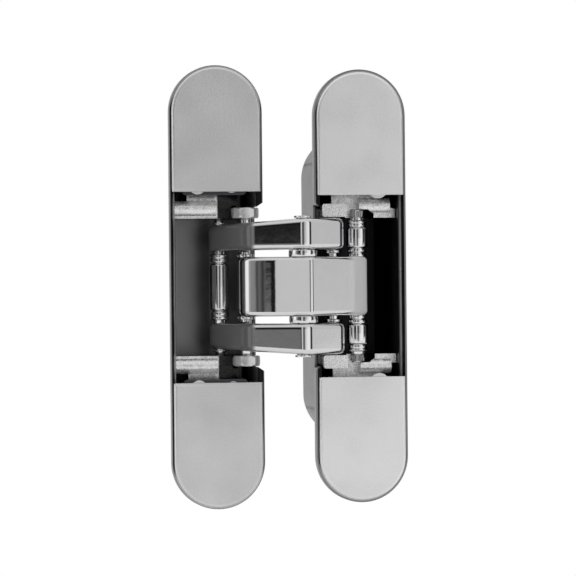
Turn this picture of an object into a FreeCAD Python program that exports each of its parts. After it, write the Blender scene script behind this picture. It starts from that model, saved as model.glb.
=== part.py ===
import FreeCAD, Part
import math
import os

from FreeCAD import Placement, Rotation, Vector

# Concealed door hinge, drawn fully open. X runs across the two leaves, Y into
# the door edge, Z up along the pins. The origin is the centre of the frame
# leaf, on the back of its flange, where the leaf seats in its mortise.
doc = FreeCAD.newDocument("concealed_hinge")

# Driving sizes, all in millimetres
SIZES = [
    # leaves
    ("plate_width", 30.0),
    ("cover_length", 40.5),
    ("frame_window", 61.0),
    ("door_window", 58.5),
    ("cover_thickness", 1.5),
    ("cover_air", 0.4),
    ("cover_bevel", 0.6),
    ("cover_back_bevel", 0.3),
    ("cover_post_radius", 1.5),
    ("cover_post_length", 2.4),
    ("post_hole_rest", 0.2),
    ("cover_post_far", 33.0),
    ("frame_post_over", 2.5),
    ("door_post_over", 1.25),
    ("clamp_post_clearance", 0.12),
    ("flange_thickness", 3.0),
    ("case_depth", 29.0),
    ("case_inset", 1.0),
    ("case_length", 99.0),
    ("case_wall", 0.9),
    ("window_rim", 0.6),
    ("rim_depth", 2.6),
    ("case_floor", 1.6),
    ("case_end", 9.5),
    ("case_shoulder", 12.0),
    ("case_slope", 2.8),
    ("slope_overcut", 9.5),
    ("pocket_corner", 1.5),
    ("mouth_margin", 0.1),
    ("mouth_slope", 1.3),
    ("mouth_overcut", 0.6),
    ("frame_mouth_depth", 12.0),
    ("door_mouth_depth", 9.0),
    # fixing screw holes in the flange ends
    ("fixing_spacing_x", 13.0),
    ("fixing_spacing_z", 112.0),
    ("fixing_radius", 2.3),
    ("fixing_sink_radius", 4.4),
    # how the leaves stand to each other
    ("open_gap", 16.8),
    ("closed_gap", 4.0),
    ("knuckle_offset", 3.2),
    ("knuckle_proud", 6.0),
    ("closed_reach", 23.8),
    ("frame_pivot_reach", 4.8),
    ("door_pivot_reach", 7.4),
    ("frame_tip_reach", 12.5),
    ("frame_tip_depth", 13.4),
    ("door_tip_reach", 14.9),
    ("door_tip_depth", 7.0),
    # arms
    ("central_height", 19.0),
    ("outer_height", 10.1),
    ("level_gap", 2.2),
    ("tip_taper", 2.0),
    ("ridge_right", 2.0),
    ("ridge_proud", 4.6),
    ("neck", 4.2),
    ("shoulder", 15.5),
    ("hub_radius", 3.8),
    ("pivot_eye_radius", 2.9),
    ("door_eye_radius", 3.2),
    ("tip_eye_radius", 3.2),
    ("arm_edge", 0.45),
    ("ridge_round", 0.8),
    ("shoulder_round", 9.0),
    ("elbow_part", 0.12),
    ("elbow_round", 2.0),
    ("valley_part", 0.42),
    ("valley_round", 4.0),
    ("outer_bend_round", 2.0),
    ("outer_hub_margin", 0.4),
    ("outer_fall", 10.3),
    ("outer_end_round", 1.2),
    ("pin_margin", 0.7),
    ("bow_before", 9.0),
    ("bow_after", 1.6),
    # pins and what sits on them
    ("centre_pin_radius", 2.0),
    ("centre_head_radius", 2.8),
    ("centre_head", 0.7),
    ("centre_washer_radius", 4.6),
    ("pivot_pin_radius", 1.8),
    ("pivot_pin_end", 0.5),
    ("tip_pin_radius", 1.5),
    ("barrel_radius", 3.2),
    ("collar_radius", 3.0),
    ("guide_bush_radius", 2.3),
    ("washer_radius", 2.8),
    ("washer_thickness", 0.9),
    ("fit_clearance", 0.04),
    ("side_clearance", 0.1),
    ("slot_clearance", 0.06),
    ("pin_edge", 0.3),
    ("tip_neck", 0.7),
    ("tip_washer", 0.45),
    ("frame_barrel_inset", 1.9),
    ("barrel_edge", 0.45),
    ("collar_gap", 1.0),
    ("tip_taper_part", 0.74),
    ("door_barrel_more", 0.2),
    ("door_barrel_foot", 0.6),
    ("door_barrel_top", 2.9),
    ("door_collar_top", 0.6),
    ("door_collar_foot", 0.6),
    ("door_collar_clearance", 0.15),
    # carriages that hold the pins in each leaf
    ("carriage_plate", 3.1),
    ("carriage_lift", 0.3),
    ("carriage_nose", 2.5),
    ("frame_nose_start", 14.2),
    ("door_nose_start", 15.6),
    ("door_nose_end", 25.8),
    ("nose_setback", 6.0),
    ("nose_corner", 0.8),
    ("frame_nose_lift", 0.7),
    ("door_nose_lift", 1.4),
    ("nose_root", 3.5),
    ("carriage_corner", 3.0),
    ("slot_floor", 0.4),
    ("hex_radius", 4.5),
    ("door_ear_radius", 4.0),
    ("door_block_lift", 0.3),
    ("door_block_top", 4.5),
    ("tower_left", 7.0),
    ("tower_right", 23.5),
    ("tower_setback", 9.0),
    ("step_inset", 10.6),
    ("tower_inset", 0.6),
    ("tower_corner", 1.0),
    # adjusting screws and clamp plates under the covers
    ("clamp_thickness", 1.2),
    ("clamp_left", 5.0),
    ("clamp_right", 26.0),
    ("clamp_overlap", 4.5),
    ("clamp_corner", 1.5),
    ("frame_screw_reach", 21.0),
    ("frame_screw_inset", 7.6),
    ("frame_screw_head", 2.7),
    ("door_screw_reach", 21.0),
    ("door_screw_inset", 8.4),
    ("door_screw_head", 3.4),
    ("lock_screw_reach", 10.0),
    ("lock_screw_head", 2.2),
    ("screw_head_height", 1.2),
    ("screw_shank_radius", 1.5),
    ("screw_length", 9.0),
    ("socket_depth", 0.9),
    ("adjusting_socket", 1.4),
    ("lock_socket", 1.1),
]

sheet = doc.addObject("Spreadsheet::Sheet", "Sizes")
for row, (alias, value) in enumerate(SIZES, start=1):
    sheet.set("A%d" % row, alias)
    sheet.set("B%d" % row, str(value))
    sheet.setAlias("B%d" % row, alias)
doc.recompute()


def size(alias):
    """The number in the sheet's cell of that name."""
    return float(sheet.get(alias))


PLATE = size("plate_width")
HALF_GAP = size("open_gap") / 2
MIDDLE = PLATE / 2 + HALF_GAP
FACE_Y = -size("cover_thickness") - size("flange_thickness")
LEAVES = {"frame": -1, "door": 1}
LEVELS = {"upper": 1, "lower": -1}


def point(leaf, reach, depth):
    """Plan position of a point given from a leaf's knuckle edge and face."""
    return Vector(MIDDLE + LEAVES[leaf] * (HALF_GAP + reach), FACE_Y + depth, 0)


def leaf_x(leaf, reach):
    """X of a line that lies so far from a leaf's knuckle edge."""
    return MIDDLE + LEAVES[leaf] * (HALF_GAP + reach)


# The linkage. The centre pin swings about each leaf's deep pivot pin, from in
# front of the gap when open to midway between the faces when closed, so each
# pivot's depth follows from the two ends of that swing.
def knuckle_reach(leaf):
    """Distance of the open centre pin from a leaf's knuckle edge, inwards."""
    return -HALF_GAP - LEAVES[leaf] * -size("knuckle_offset")


def pivot_depth(leaf):
    """Depth at which a pivot is as far from the open as from the closed centre pin."""
    reach = size(leaf + "_pivot_reach")
    proud = size("knuckle_proud")
    half = size("closed_gap") / 2
    open_run = reach - knuckle_reach(leaf)
    closed_run = size("closed_reach") - reach
    return (closed_run ** 2 + half ** 2 - open_run ** 2 - proud ** 2) / (2 * (proud - half))


def local(leaf, name):
    """Reach and depth of a linkage point as a complex number."""
    if name == "pivot":
        return complex(size(leaf + "_pivot_reach"), pivot_depth(leaf))
    if name == "tip":
        return complex(size(leaf + "_tip_reach"), size(leaf + "_tip_depth"))
    if name == "open":
        return complex(knuckle_reach(leaf), -size("knuckle_proud"))
    return complex(size("closed_reach"), -size("closed_gap") / 2)


def swing(leaf):
    """Angle through which a leaf's own arm turns about its pivot, in radians."""
    start = local(leaf, "open") - local(leaf, "pivot")
    end = local(leaf, "closed") - local(leaf, "pivot")
    turn = math.atan2(end.imag, end.real) - math.atan2(start.imag, start.real)
    return turn % (2 * math.pi)


def tip_path(leaf, part):
    """Reach and depth of the guided tip pin, part of the way from open to closed."""
    other = "door" if leaf == "frame" else "frame"
    pivot = local(leaf, "pivot")
    turn = complex(math.cos(swing(leaf) * part), math.sin(swing(leaf) * part))
    centre = pivot + (local(leaf, "open") - pivot) * turn
    lean = (math.pi - swing(other)) * part
    arm = (local(leaf, "tip") - local(leaf, "open")) * complex(math.cos(lean), math.sin(lean))
    return centre + arm


KNUCKLE = Vector(MIDDLE + size("knuckle_offset"), FACE_Y - size("knuckle_proud"), 0)
PIVOT = {leaf: point(leaf, local(leaf, "pivot").real, local(leaf, "pivot").imag) for leaf in LEAVES}
TIP = {leaf: point(leaf, size(leaf + "_tip_reach"), size(leaf + "_tip_depth")) for leaf in LEAVES}

# Heights of the three arm levels, from the middle of the hinge
CENTRAL_TOP = size("central_height") / 2
OUTER_FOOT = CENTRAL_TOP + size("level_gap")
OUTER_TOP = OUTER_FOOT + size("outer_height")
CARRIAGE_FOOT = OUTER_TOP + size("carriage_lift")
CARRIAGE_TOP = CARRIAGE_FOOT + size("carriage_plate")


POCKET_HALF = size("case_length") / 2 - size("case_end")
STEP_HEIGHT = POCKET_HALF - size("step_inset")
TOWER_TOP = POCKET_HALF - size("tower_inset")
CLAMP_TOP = POCKET_HALF + size("clamp_overlap")
SCREW_HEIGHT = {leaf: POCKET_HALF - size(leaf + "_screw_inset") for leaf in LEAVES}
FLOOR_DEPTH = size("cover_thickness") + size("case_depth") - size("case_floor")
POST_HEIGHTS = {
    leaf: (POCKET_HALF + size(leaf + "_post_over"), size(leaf + "_window") / 2 + size("cover_post_far"))
    for leaf in LEAVES}


def inner_wall(leaf_depth):
    """Reach of the pocket's outer wall at a depth: upright first, then sloping in to the floor."""
    upright = PLATE - size("case_inset") - size("case_wall")
    run = size("cover_thickness") + size("case_depth") - size("case_shoulder")
    past = max(leaf_depth - size("case_shoulder"), 0.0)
    return upright - size("case_slope") * past / run


# Drawing helpers
def origin_plane(body, role):
    for feature in body.Origin.OriginFeatures:
        if feature.Role == role:
            return feature


def new_body(label):
    body = doc.addObject("PartDesign::Body", label)
    body.Label = label
    body.Placement = Placement()
    return body


def plan_sketch(body, name, height):
    """Sketch on the plan plane of a body, at a height."""
    sketch = body.newObject("Sketcher::SketchObject", name)
    sketch.AttachmentSupport = (origin_plane(body, "XY_Plane"), [""])
    sketch.MapMode = "FlatFace"
    sketch.AttachmentOffset = Placement(Vector(0, 0, height), Rotation())
    return sketch


def front_sketch(body, name, depth):
    """Sketch on the front plane of a body, at a depth behind it."""
    sketch = body.newObject("Sketcher::SketchObject", name)
    sketch.AttachmentSupport = (origin_plane(body, "XZ_Plane"), [""])
    sketch.MapMode = "FlatFace"
    sketch.AttachmentOffset = Placement(Vector(0, 0, -depth), Rotation())
    return sketch


def draw_outline(sketch, corners, radii):
    """Closed outline of straight sides with a round at each corner that has a radius."""
    count = len(corners)
    starts = []
    ends = []
    for index, corner in enumerate(corners):
        before = corners[index - 1] - corner
        after = corners[(index + 1) % count] - corner
        radius = radii[index]
        if radius <= 0:
            starts.append(corner)
            ends.append(corner)
            continue
        before.normalize()
        after.normalize()
        half = before.getAngle(after) / 2
        run = radius / math.tan(half)
        first = corner + before * run
        last = corner + after * run
        inward = before + after
        inward.normalize()
        middle = corner + inward * (radius / math.sin(half) - radius)
        sketch.addGeometry(Part.Arc(first, middle, last), False)
        starts.append(first)
        ends.append(last)
    for index in range(count):
        following = (index + 1) % count
        if ends[index].distanceToPoint(starts[following]) > 1e-6:
            sketch.addGeometry(Part.LineSegment(ends[index], starts[following]), False)


def draw_circle(sketch, centre, radius):
    sketch.addGeometry(Part.Circle(Vector(centre.x, centre.y, 0), Vector(0, 0, 1), radius), False)


def draw_stadium(sketch, centre_x, width, height):
    """Upright slot outline: two straight sides and two half-round ends."""
    radius = width / 2
    straight = height / 2 - radius
    left = centre_x - radius
    right = centre_x + radius
    top = Vector(centre_x, straight + radius, 0)
    foot = Vector(centre_x, -straight - radius, 0)
    sketch.addGeometry(Part.LineSegment(Vector(left, -straight, 0), Vector(left, straight, 0)), False)
    sketch.addGeometry(Part.Arc(Vector(left, straight, 0), top, Vector(right, straight, 0)), False)
    sketch.addGeometry(Part.LineSegment(Vector(right, straight, 0), Vector(right, -straight, 0)), False)
    sketch.addGeometry(Part.Arc(Vector(right, -straight, 0), foot, Vector(left, -straight, 0)), False)


def pad(body, sketch, name, expression, reverse=False):
    feature = body.newObject("PartDesign::Pad", name)
    feature.Profile = sketch
    feature.Reversed = reverse
    feature.setExpression("Length", expression)
    doc.recompute()
    return feature


def pocket(body, sketch, name, expression, reverse=False):
    feature = body.newObject("PartDesign::Pocket", name)
    feature.Profile = sketch
    feature.Reversed = reverse
    feature.setExpression("Length", expression)
    doc.recompute()
    return feature


def rectangle(left, right, foot, top):
    return [Vector(left, foot, 0), Vector(right, foot, 0), Vector(right, top, 0), Vector(left, top, 0)]


# Leaf housings: a round-ended flange, a deep case behind it whose outer side
# slopes in towards the floor, the pocket that takes the folded arms, and a
# mouth in the knuckle side where the arms come out
def make_housing(leaf):
    height = size(leaf + "_window") + 2 * size("cover_length")
    centre_x = leaf_x(leaf, PLATE / 2)
    flange_y = FACE_Y + size("cover_thickness")
    body = new_body(leaf + "_housing")

    sketch = front_sketch(body, leaf + "_flange_outline", flange_y)
    draw_stadium(sketch, centre_x, PLATE, height)
    pad(body, sketch, leaf + "_flange", "Sizes.flange_thickness", True)

    sketch = front_sketch(body, leaf + "_case_outline", 0)
    draw_stadium(sketch, centre_x, PLATE - 2 * size("case_inset"), size("case_length"))
    pad(body, sketch, leaf + "_case", "Sizes.case_depth - Sizes.flange_thickness", True)

    # outer side of the case, sloped
    inset = size("case_inset")
    back = size("cover_thickness") + size("case_depth")
    run = back - size("case_shoulder")
    over = size("slope_overcut")
    slope_end = PLATE - inset - size("case_slope") * (run + over) / run
    corners = [
        point(leaf, PLATE - inset, size("case_shoulder")),
        point(leaf, slope_end, back + over),
        point(leaf, PLATE + over, back + over),
        point(leaf, PLATE + over, size("case_shoulder")),
    ]
    sketch = plan_sketch(body, leaf + "_slope_outline", -height / 2)
    draw_outline(sketch, corners, [0] * 4)
    pocket(body, sketch, leaf + "_slope", "3 * Sizes.case_length", True)

    # pocket, open to the front
    inner = inset + size("case_wall")
    shoulder = size("case_shoulder")
    corners = [
        point(leaf, inner, 0),
        point(leaf, inner, FLOOR_DEPTH),
        point(leaf, inner_wall(FLOOR_DEPTH), FLOOR_DEPTH),
        point(leaf, inner_wall(shoulder), shoulder),
        point(leaf, inner_wall(0), back - size("case_depth") + size("flange_thickness")),
        point(leaf, PLATE - size("window_rim"), size("rim_depth")),
        point(leaf, PLATE - size("window_rim"), 0),
    ]
    corner = size("pocket_corner")
    sketch = plan_sketch(body, leaf + "_pocket_outline", -POCKET_HALF)
    draw_outline(sketch, corners, [0, corner, corner, 0, 0, 0, 0])
    pocket(body, sketch, leaf + "_pocket", "Sizes.case_length - 2 * Sizes.case_end", True)

    # seats of the two clamp plates, just below the flange's front
    gap = size("side_clearance")
    for level, up in LEVELS.items():
        edges = sorted([leaf_x(leaf, size("clamp_left") - gap), leaf_x(leaf, size("clamp_right") + gap)])
        heights = sorted([up * STEP_HEIGHT, up * (CLAMP_TOP + gap)])
        sketch = front_sketch(body, "%s_seat_%s" % (leaf, level), flange_y)
        draw_outline(sketch, rectangle(edges[0], edges[1], heights[0], heights[1]), [size("clamp_corner")] * 4)
        pocket(
            body, sketch, "%s_clamp_seat_%s" % (leaf, level),
            "Sizes.screw_head_height + Sizes.clamp_thickness + Sizes.cover_air")

    # mouth in the knuckle side, wider outside than inside
    rim = CARRIAGE_TOP + size("mouth_margin")
    slope = size("mouth_slope")
    overcut = size("mouth_overcut")
    outer_x = leaf_x(leaf, -overcut)
    inner_x = leaf_x(leaf, inner + overcut)
    flare = slope * (inner + 2 * overcut) / inner
    corners = [
        Vector(inner_x, rim, 0),
        Vector(outer_x, rim + flare, 0),
        Vector(outer_x, -rim - flare, 0),
        Vector(inner_x, -rim, 0),
    ]
    sketch = front_sketch(body, leaf + "_mouth_outline", flange_y)
    draw_outline(sketch, corners, [0] * 4)
    pocket(body, sketch, leaf + "_mouth", "Sizes.%s_mouth_depth - Sizes.cover_thickness" % leaf)

    # fixing screw holes, countersunk from the front
    spots = []
    for along in (-1, 1):
        for up in (-1, 1):
            spots.append(Vector(
                centre_x + along * size("fixing_spacing_x") / 2, up * size("fixing_spacing_z") / 2, 0))
    sketch = front_sketch(body, leaf + "_fixing_outline", flange_y)
    for spot in spots:
        draw_circle(sketch, spot, size("fixing_radius"))
    pocket(body, sketch, leaf + "_fixing_holes", "Sizes.flange_thickness")
    sketch = front_sketch(body, leaf + "_sink_outline", flange_y)
    for spot in spots:
        draw_circle(sketch, spot, size("fixing_sink_radius"))
    sink = pocket(body, sketch, leaf + "_countersinks", "Sizes.fixing_sink_radius - Sizes.fixing_radius")
    sink.TaperAngle = -45
    doc.recompute()

    # holes for the covers' posts
    sketch = front_sketch(body, leaf + "_post_outline", flange_y)
    for up in (-1, 1):
        for along in POST_HEIGHTS[leaf]:
            draw_circle(sketch, Vector(centre_x, up * along, 0), size("cover_post_radius") + size("fit_clearance"))
    pocket(body, sketch, leaf + "_post_holes", "Sizes.cover_post_length + Sizes.post_hole_rest")
    return body


for leaf_name in LEAVES:
    make_housing(leaf_name)


# Covers: satin plates with one round end, bevelled all round, held by two
# posts that push into the flange
def make_cover(leaf, level):
    up = LEVELS[level]
    label = "%s_cover_%s" % (leaf, level)
    body = new_body(label)
    centre_x = leaf_x(leaf, PLATE / 2)
    radius = PLATE / 2
    inner = size(leaf + "_window") / 2
    shoulder = inner + size("cover_length") - radius
    left = centre_x - radius
    right = centre_x + radius
    sketch = front_sketch(body, label + "_outline", FACE_Y)
    sketch.addGeometry(Part.LineSegment(Vector(left, up * inner, 0), Vector(right, up * inner, 0)), False)
    sketch.addGeometry(Part.LineSegment(Vector(right, up * inner, 0), Vector(right, up * shoulder, 0)), False)
    sketch.addGeometry(Part.Arc(
        Vector(right, up * shoulder, 0),
        Vector(centre_x, up * (shoulder + radius), 0),
        Vector(left, up * shoulder, 0)), False)
    sketch.addGeometry(Part.LineSegment(Vector(left, up * shoulder, 0), Vector(left, up * inner, 0)), False)
    plate = pad(body, sketch, label + "_plate", "Sizes.cover_thickness", True)

    base = plate
    for tag, face_y in (("cover_bevel", FACE_Y), ("cover_back_bevel", FACE_Y + size("cover_thickness"))):
        names = []
        for index, edge in enumerate(base.Shape.Edges, start=1):
            box = edge.BoundBox
            if abs(box.YMin - face_y) < 1e-4 and abs(box.YMax - face_y) < 1e-4:
                names.append("Edge%d" % index)
        bevel = body.newObject("PartDesign::Chamfer", "%s_%s" % (label, tag))
        bevel.Base = (base, names)
        bevel.setExpression("Size", "Sizes." + tag)
        doc.recompute()
        base = bevel

    sketch = front_sketch(body, label + "_post_outline", FACE_Y + size("cover_thickness"))
    for along in POST_HEIGHTS[leaf]:
        draw_circle(sketch, Vector(centre_x, up * along, 0), size("cover_post_radius"))
    pad(body, sketch, label + "_posts", "Sizes.cover_post_length", True)
    return body


for leaf_name in LEAVES:
    for level_name in LEVELS:
        make_cover(leaf_name, level_name)


# Arms. Each is a bent casting: from its pivot eye in one leaf, over the ridge
# in front of the centre pin, to its tip eye in the other leaf
RIDGE = KNUCKLE + Vector(size("ridge_right"), -size("ridge_proud"), 0)


def tangent_line(start, centre, radius, turn):
    """Point where a line from start touches a circle, on its left (+1) or right (-1)."""
    reach = centre - start
    distance = reach.Length
    angle = math.atan2(reach.y, reach.x) + turn * math.asin(radius / distance)
    run = math.sqrt(distance ** 2 - radius ** 2)
    return start + Vector(math.cos(angle), math.sin(angle), 0) * run


def face_direction(distance, turn):
    """Direction of a front face that leaves the ridge and passes so far from the centre pin."""
    reach = KNUCKLE - RIDGE
    angle = math.atan2(reach.y, reach.x) + turn * math.asin(min(distance / reach.Length, 0.98))
    return Vector(math.cos(angle), math.sin(angle), 0)


def side_of(vector):
    """Unit vector at right angles, to the left of the given one."""
    across = Vector(-vector.y, vector.x, 0)
    across.normalize()
    return across


def make_eye(body, name, centre, radius, foot, expression):
    sketch = plan_sketch(body, name + "_outline", foot)
    draw_circle(sketch, centre, radius)
    return pad(body, sketch, name, expression)


def bore(body, name, centre, radius, foot, expression):
    sketch = plan_sketch(body, name + "_outline", foot)
    draw_circle(sketch, centre, radius)
    return pocket(body, sketch, name, expression, True)


def bevel_faces(body, name, bands):
    """Bevel the outline edges of an arm's two faces, which lie within bands of height."""
    base = body.Tip
    names = []
    for index, edge in enumerate(base.Shape.Edges, start=1):
        box = edge.BoundBox
        if any(box.ZMin > low - 1e-4 and box.ZMax < high + 1e-4 for low, high in bands):
            names.append("Edge%d" % index)
    bevel = body.newObject("PartDesign::Chamfer", name)
    bevel.Base = (base, names)
    bevel.setExpression("Size", "Sizes.arm_edge")
    doc.recompute()
    return bevel


def make_central_arm():
    label = "central_arm"
    body = new_body(label)
    foot = -CENTRAL_TOP
    eye = size("pivot_eye_radius")
    tip_eye = size("tip_eye_radius")
    pivot = PIVOT["frame"]
    tip = TIP["door"]

    # front faces, either side of the ridge
    outer_touch = tangent_line(RIDGE, tip, tip_eye, -1)
    right_run = outer_touch - RIDGE
    right_run.normalize()
    left_face = face_direction(size("hub_radius"), 1)
    shoulder = RIDGE + left_face * size("shoulder")
    eye_front = tangent_line(shoulder, pivot, eye, 1)
    # back faces
    right_back = side_of(right_run) * size("neck")
    back_of_tip = outer_touch + right_back
    hub_back = KNUCKLE + side_of(right_run) * size("hub_radius")
    eye_back = tangent_line(hub_back, pivot, eye, -1)
    corner = hub_back + (eye_back - hub_back) * size("elbow_part")
    valley = RIDGE + right_run * (outer_touch - RIDGE).Length * size("valley_part") + right_back
    corners = [RIDGE, outer_touch, back_of_tip, valley, corner, eye_back, eye_front, shoulder]
    radii = [size("ridge_round"), 0, 0, size("valley_round"), size("elbow_round"), 0, 0, size("shoulder_round")]
    sketch = plan_sketch(body, label + "_outline", foot)
    draw_outline(sketch, corners, radii)
    pad(body, sketch, label + "_web", "Sizes.central_height")
    make_eye(body, label + "_hub", KNUCKLE, size("hub_radius"), foot, "Sizes.central_height")
    make_eye(body, label + "_pivot_eye", pivot, eye, foot, "Sizes.central_height")
    make_eye(body, label + "_tip_eye", tip, tip_eye, foot, "Sizes.central_height")
    bevel_faces(body, label + "_bevel", [(foot, foot), (-foot, -foot)])

    clearance = size("fit_clearance")
    bore(body, label + "_hub_bore", KNUCKLE, size("centre_pin_radius") + clearance, foot, "Sizes.central_height")
    bore(body, label + "_pivot_bore", pivot, size("pivot_pin_radius") + clearance, foot, "Sizes.central_height")
    bore(body, label + "_tip_bore", tip, size("tip_pin_radius") + clearance, foot, "Sizes.central_height")
    return body


def make_outer_arm(level):
    up = LEVELS[level]
    label = "outer_arm_" + level
    body = new_body(label)
    foot = OUTER_FOOT if up > 0 else -OUTER_TOP
    eye = size("door_eye_radius")
    tip_eye = size("tip_eye_radius")
    pivot = PIVOT["door"]
    tip = TIP["frame"]
    past_pin = size("pivot_pin_radius") + size("pin_margin")
    hub = size("hub_radius") - size("outer_hub_margin")

    # front faces, either side of the ridge; the left one bends in front of the frame pivot pin
    end_front = Vector(pivot.x + eye, RIDGE.y + size("outer_fall"), 0)
    end_side = Vector(pivot.x + eye, pivot.y, 0)
    right_run = tangent_line(RIDGE, pivot, eye, -1) - RIDGE
    right_run.normalize()
    left_face = face_direction(hub, 1)
    bend = RIDGE + left_face * ((RIDGE.x - PIVOT["frame"].x) / -left_face.x)
    tip_front = tangent_line(bend, tip, tip_eye, 1)
    # back faces
    eye_back = pivot + side_of(right_run) * eye
    hub_back = KNUCKLE + side_of(right_run) * size("hub_radius")
    clear_of_pin = PIVOT["frame"] + side_of(left_face) * past_pin
    inner_bend = clear_of_pin + left_face * size("bow_after")
    tip_back = tip - (tip_front - tip)
    start_back = clear_of_pin - left_face * size("bow_before")
    corners = [RIDGE, end_front, end_side, eye_back, hub_back, start_back, inner_bend, tip_back, tip_front, bend]
    bend_round = size("outer_bend_round")
    end_round = size("outer_end_round")
    radii = [size("ridge_round"), end_round, 0, 0, 0, bend_round, bend_round, 0, 0, bend_round]
    sketch = plan_sketch(body, label + "_outline", foot)
    draw_outline(sketch, corners, radii)
    pad(body, sketch, label + "_web", "Sizes.outer_height")
    make_eye(body, label + "_hub", KNUCKLE, hub, foot, "Sizes.outer_height")
    make_eye(body, label + "_pivot_eye", pivot, eye, foot, "Sizes.outer_height")
    make_eye(body, label + "_tip_eye", tip, tip_eye, foot, "Sizes.outer_height")

    # the outer face falls away towards the tip
    top = up * OUTER_TOP
    taper_end = up * (OUTER_TOP - size("tip_taper"))
    sketch = front_sketch(body, label + "_taper_outline", RIDGE.y - PLATE)
    corners = [
        Vector(KNUCKLE.x, top, 0),
        Vector(tip.x - tip_eye - size("arm_edge"), taper_end, 0),
        Vector(tip.x - tip_eye - size("arm_edge"), top + up, 0),
        Vector(KNUCKLE.x, top + up, 0),
    ]
    draw_outline(sketch, corners, [0] * 4)
    pocket(body, sketch, label + "_taper", "3 * Sizes.plate_width")
    outer_band = sorted([top, taper_end])
    bevel_faces(body, label + "_bevel", [(up * OUTER_FOOT, up * OUTER_FOOT), tuple(outer_band)])

    clearance = size("fit_clearance")
    bore(body, label + "_hub_bore", KNUCKLE, size("centre_pin_radius") + clearance, foot, "Sizes.outer_height")
    bore(body, label + "_pivot_bore", pivot, size("pivot_pin_radius") + clearance, foot, "Sizes.outer_height")
    bore(body, label + "_tip_bore", tip, size("tip_pin_radius") + clearance, foot, "Sizes.outer_height")
    return body


make_central_arm()
for level_name in LEVELS:
    make_outer_arm(level_name)


# Turned pieces: solids of revolution about an upright axis
def make_turned(label, centre, profiles):
    """One node of turned solids; a profile is a list of (radius, height) corners."""
    solids = []
    for profile in profiles:
        points = [Vector(radius, 0, height) for radius, height in profile]
        wire = Part.makePolygon(points + [points[0]])
        solids.append(Part.Face(wire).revolve(Vector(0, 0, 0), Vector(0, 0, 1), 360))
    feature = doc.addObject("Part::Feature", label)
    feature.Label = label
    feature.Shape = solids[0] if len(solids) == 1 else Part.makeCompound(solids)
    feature.Placement = Placement(centre, Rotation())
    return feature


def rod(radius, foot, top, bevel):
    """Profile of a pin with bevelled ends."""
    return [(0, foot), (radius - bevel, foot), (radius, foot + bevel),
            (radius, top - bevel), (radius - bevel, top), (0, top)]


def ring(inner, outer, foot, top, bevel=0.0):
    """Profile of a washer or collar."""
    if bevel <= 0:
        return [(inner, foot), (outer, foot), (outer, top), (inner, top)]
    return [(inner, foot), (outer - bevel, foot), (outer, foot + bevel),
            (outer, top - bevel), (outer - bevel, top), (inner, top)]


def mirrored(profile):
    """The same profile below the middle of the hinge."""
    return [(radius, -height) for radius, height in reversed(profile)]


def both(profiles):
    return profiles + [mirrored(profile) for profile in profiles]


CLEAR = size("fit_clearance")
AIR = size("side_clearance")
PIN = size("centre_pin_radius")
HEAD = size("centre_head_radius")
HEAD_FOOT = OUTER_TOP + AIR / 2
HEAD_TOP = HEAD_FOOT + size("centre_head")
EDGE = size("pin_edge")
make_turned("centre_pin", KNUCKLE, [[
    (0, -HEAD_TOP), (HEAD - EDGE, -HEAD_TOP), (HEAD, -HEAD_TOP + EDGE), (HEAD, -HEAD_FOOT),
    (PIN, -HEAD_FOOT), (PIN, HEAD_FOOT), (HEAD, HEAD_FOOT),
    (HEAD, HEAD_TOP - EDGE), (HEAD - EDGE, HEAD_TOP), (0, HEAD_TOP)]])
make_turned("centre_washers", KNUCKLE, both([
    ring(PIN + CLEAR, size("centre_washer_radius"), CENTRAL_TOP, OUTER_FOOT - AIR, EDGE)]))

PIVOT_PIN = size("pivot_pin_radius")
PIVOT_END = CARRIAGE_TOP + size("pivot_pin_end")
WASHER = size("washer_radius")
for leaf_name in LEAVES:
    make_turned(leaf_name + "_pivot_pin", PIVOT[leaf_name], [rod(PIVOT_PIN, -PIVOT_END, PIVOT_END, EDGE)])
make_turned("frame_pivot_washers", PIVOT["frame"], both([
    ring(PIVOT_PIN + CLEAR, WASHER, CENTRAL_TOP + AIR, CENTRAL_TOP + AIR + size("washer_thickness"), EDGE / 2)]))
make_turned("door_pivot_washers", PIVOT["door"], both([
    ring(PIVOT_PIN + CLEAR, WASHER, OUTER_FOOT - AIR - size("washer_thickness"), OUTER_FOOT - AIR, EDGE / 2)]))

# Tip pins. Each carries a barrel and collars between the arms and ends in a
# bush that slides in the guide slot of a carriage
TIP_PIN = size("tip_pin_radius")
TIP_END = CARRIAGE_TOP - size("slot_floor") - 2 * AIR
BARREL = size("barrel_radius")
COLLAR = size("collar_radius")
NECK = TIP_PIN + size("tip_neck")
TIP_BORE = TIP_PIN + CLEAR
GUIDE_FOOT = CARRIAGE_FOOT + AIR
for leaf_name in LEAVES:
    make_turned(leaf_name + "_tip_pin", TIP[leaf_name], [rod(TIP_PIN, -TIP_END, TIP_END, EDGE)])
    make_turned(leaf_name + "_guide_bushes", TIP[leaf_name], both([
        ring(TIP_BORE, size("guide_bush_radius"), GUIDE_FOOT, TIP_END - EDGE, EDGE / 2)]))

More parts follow.
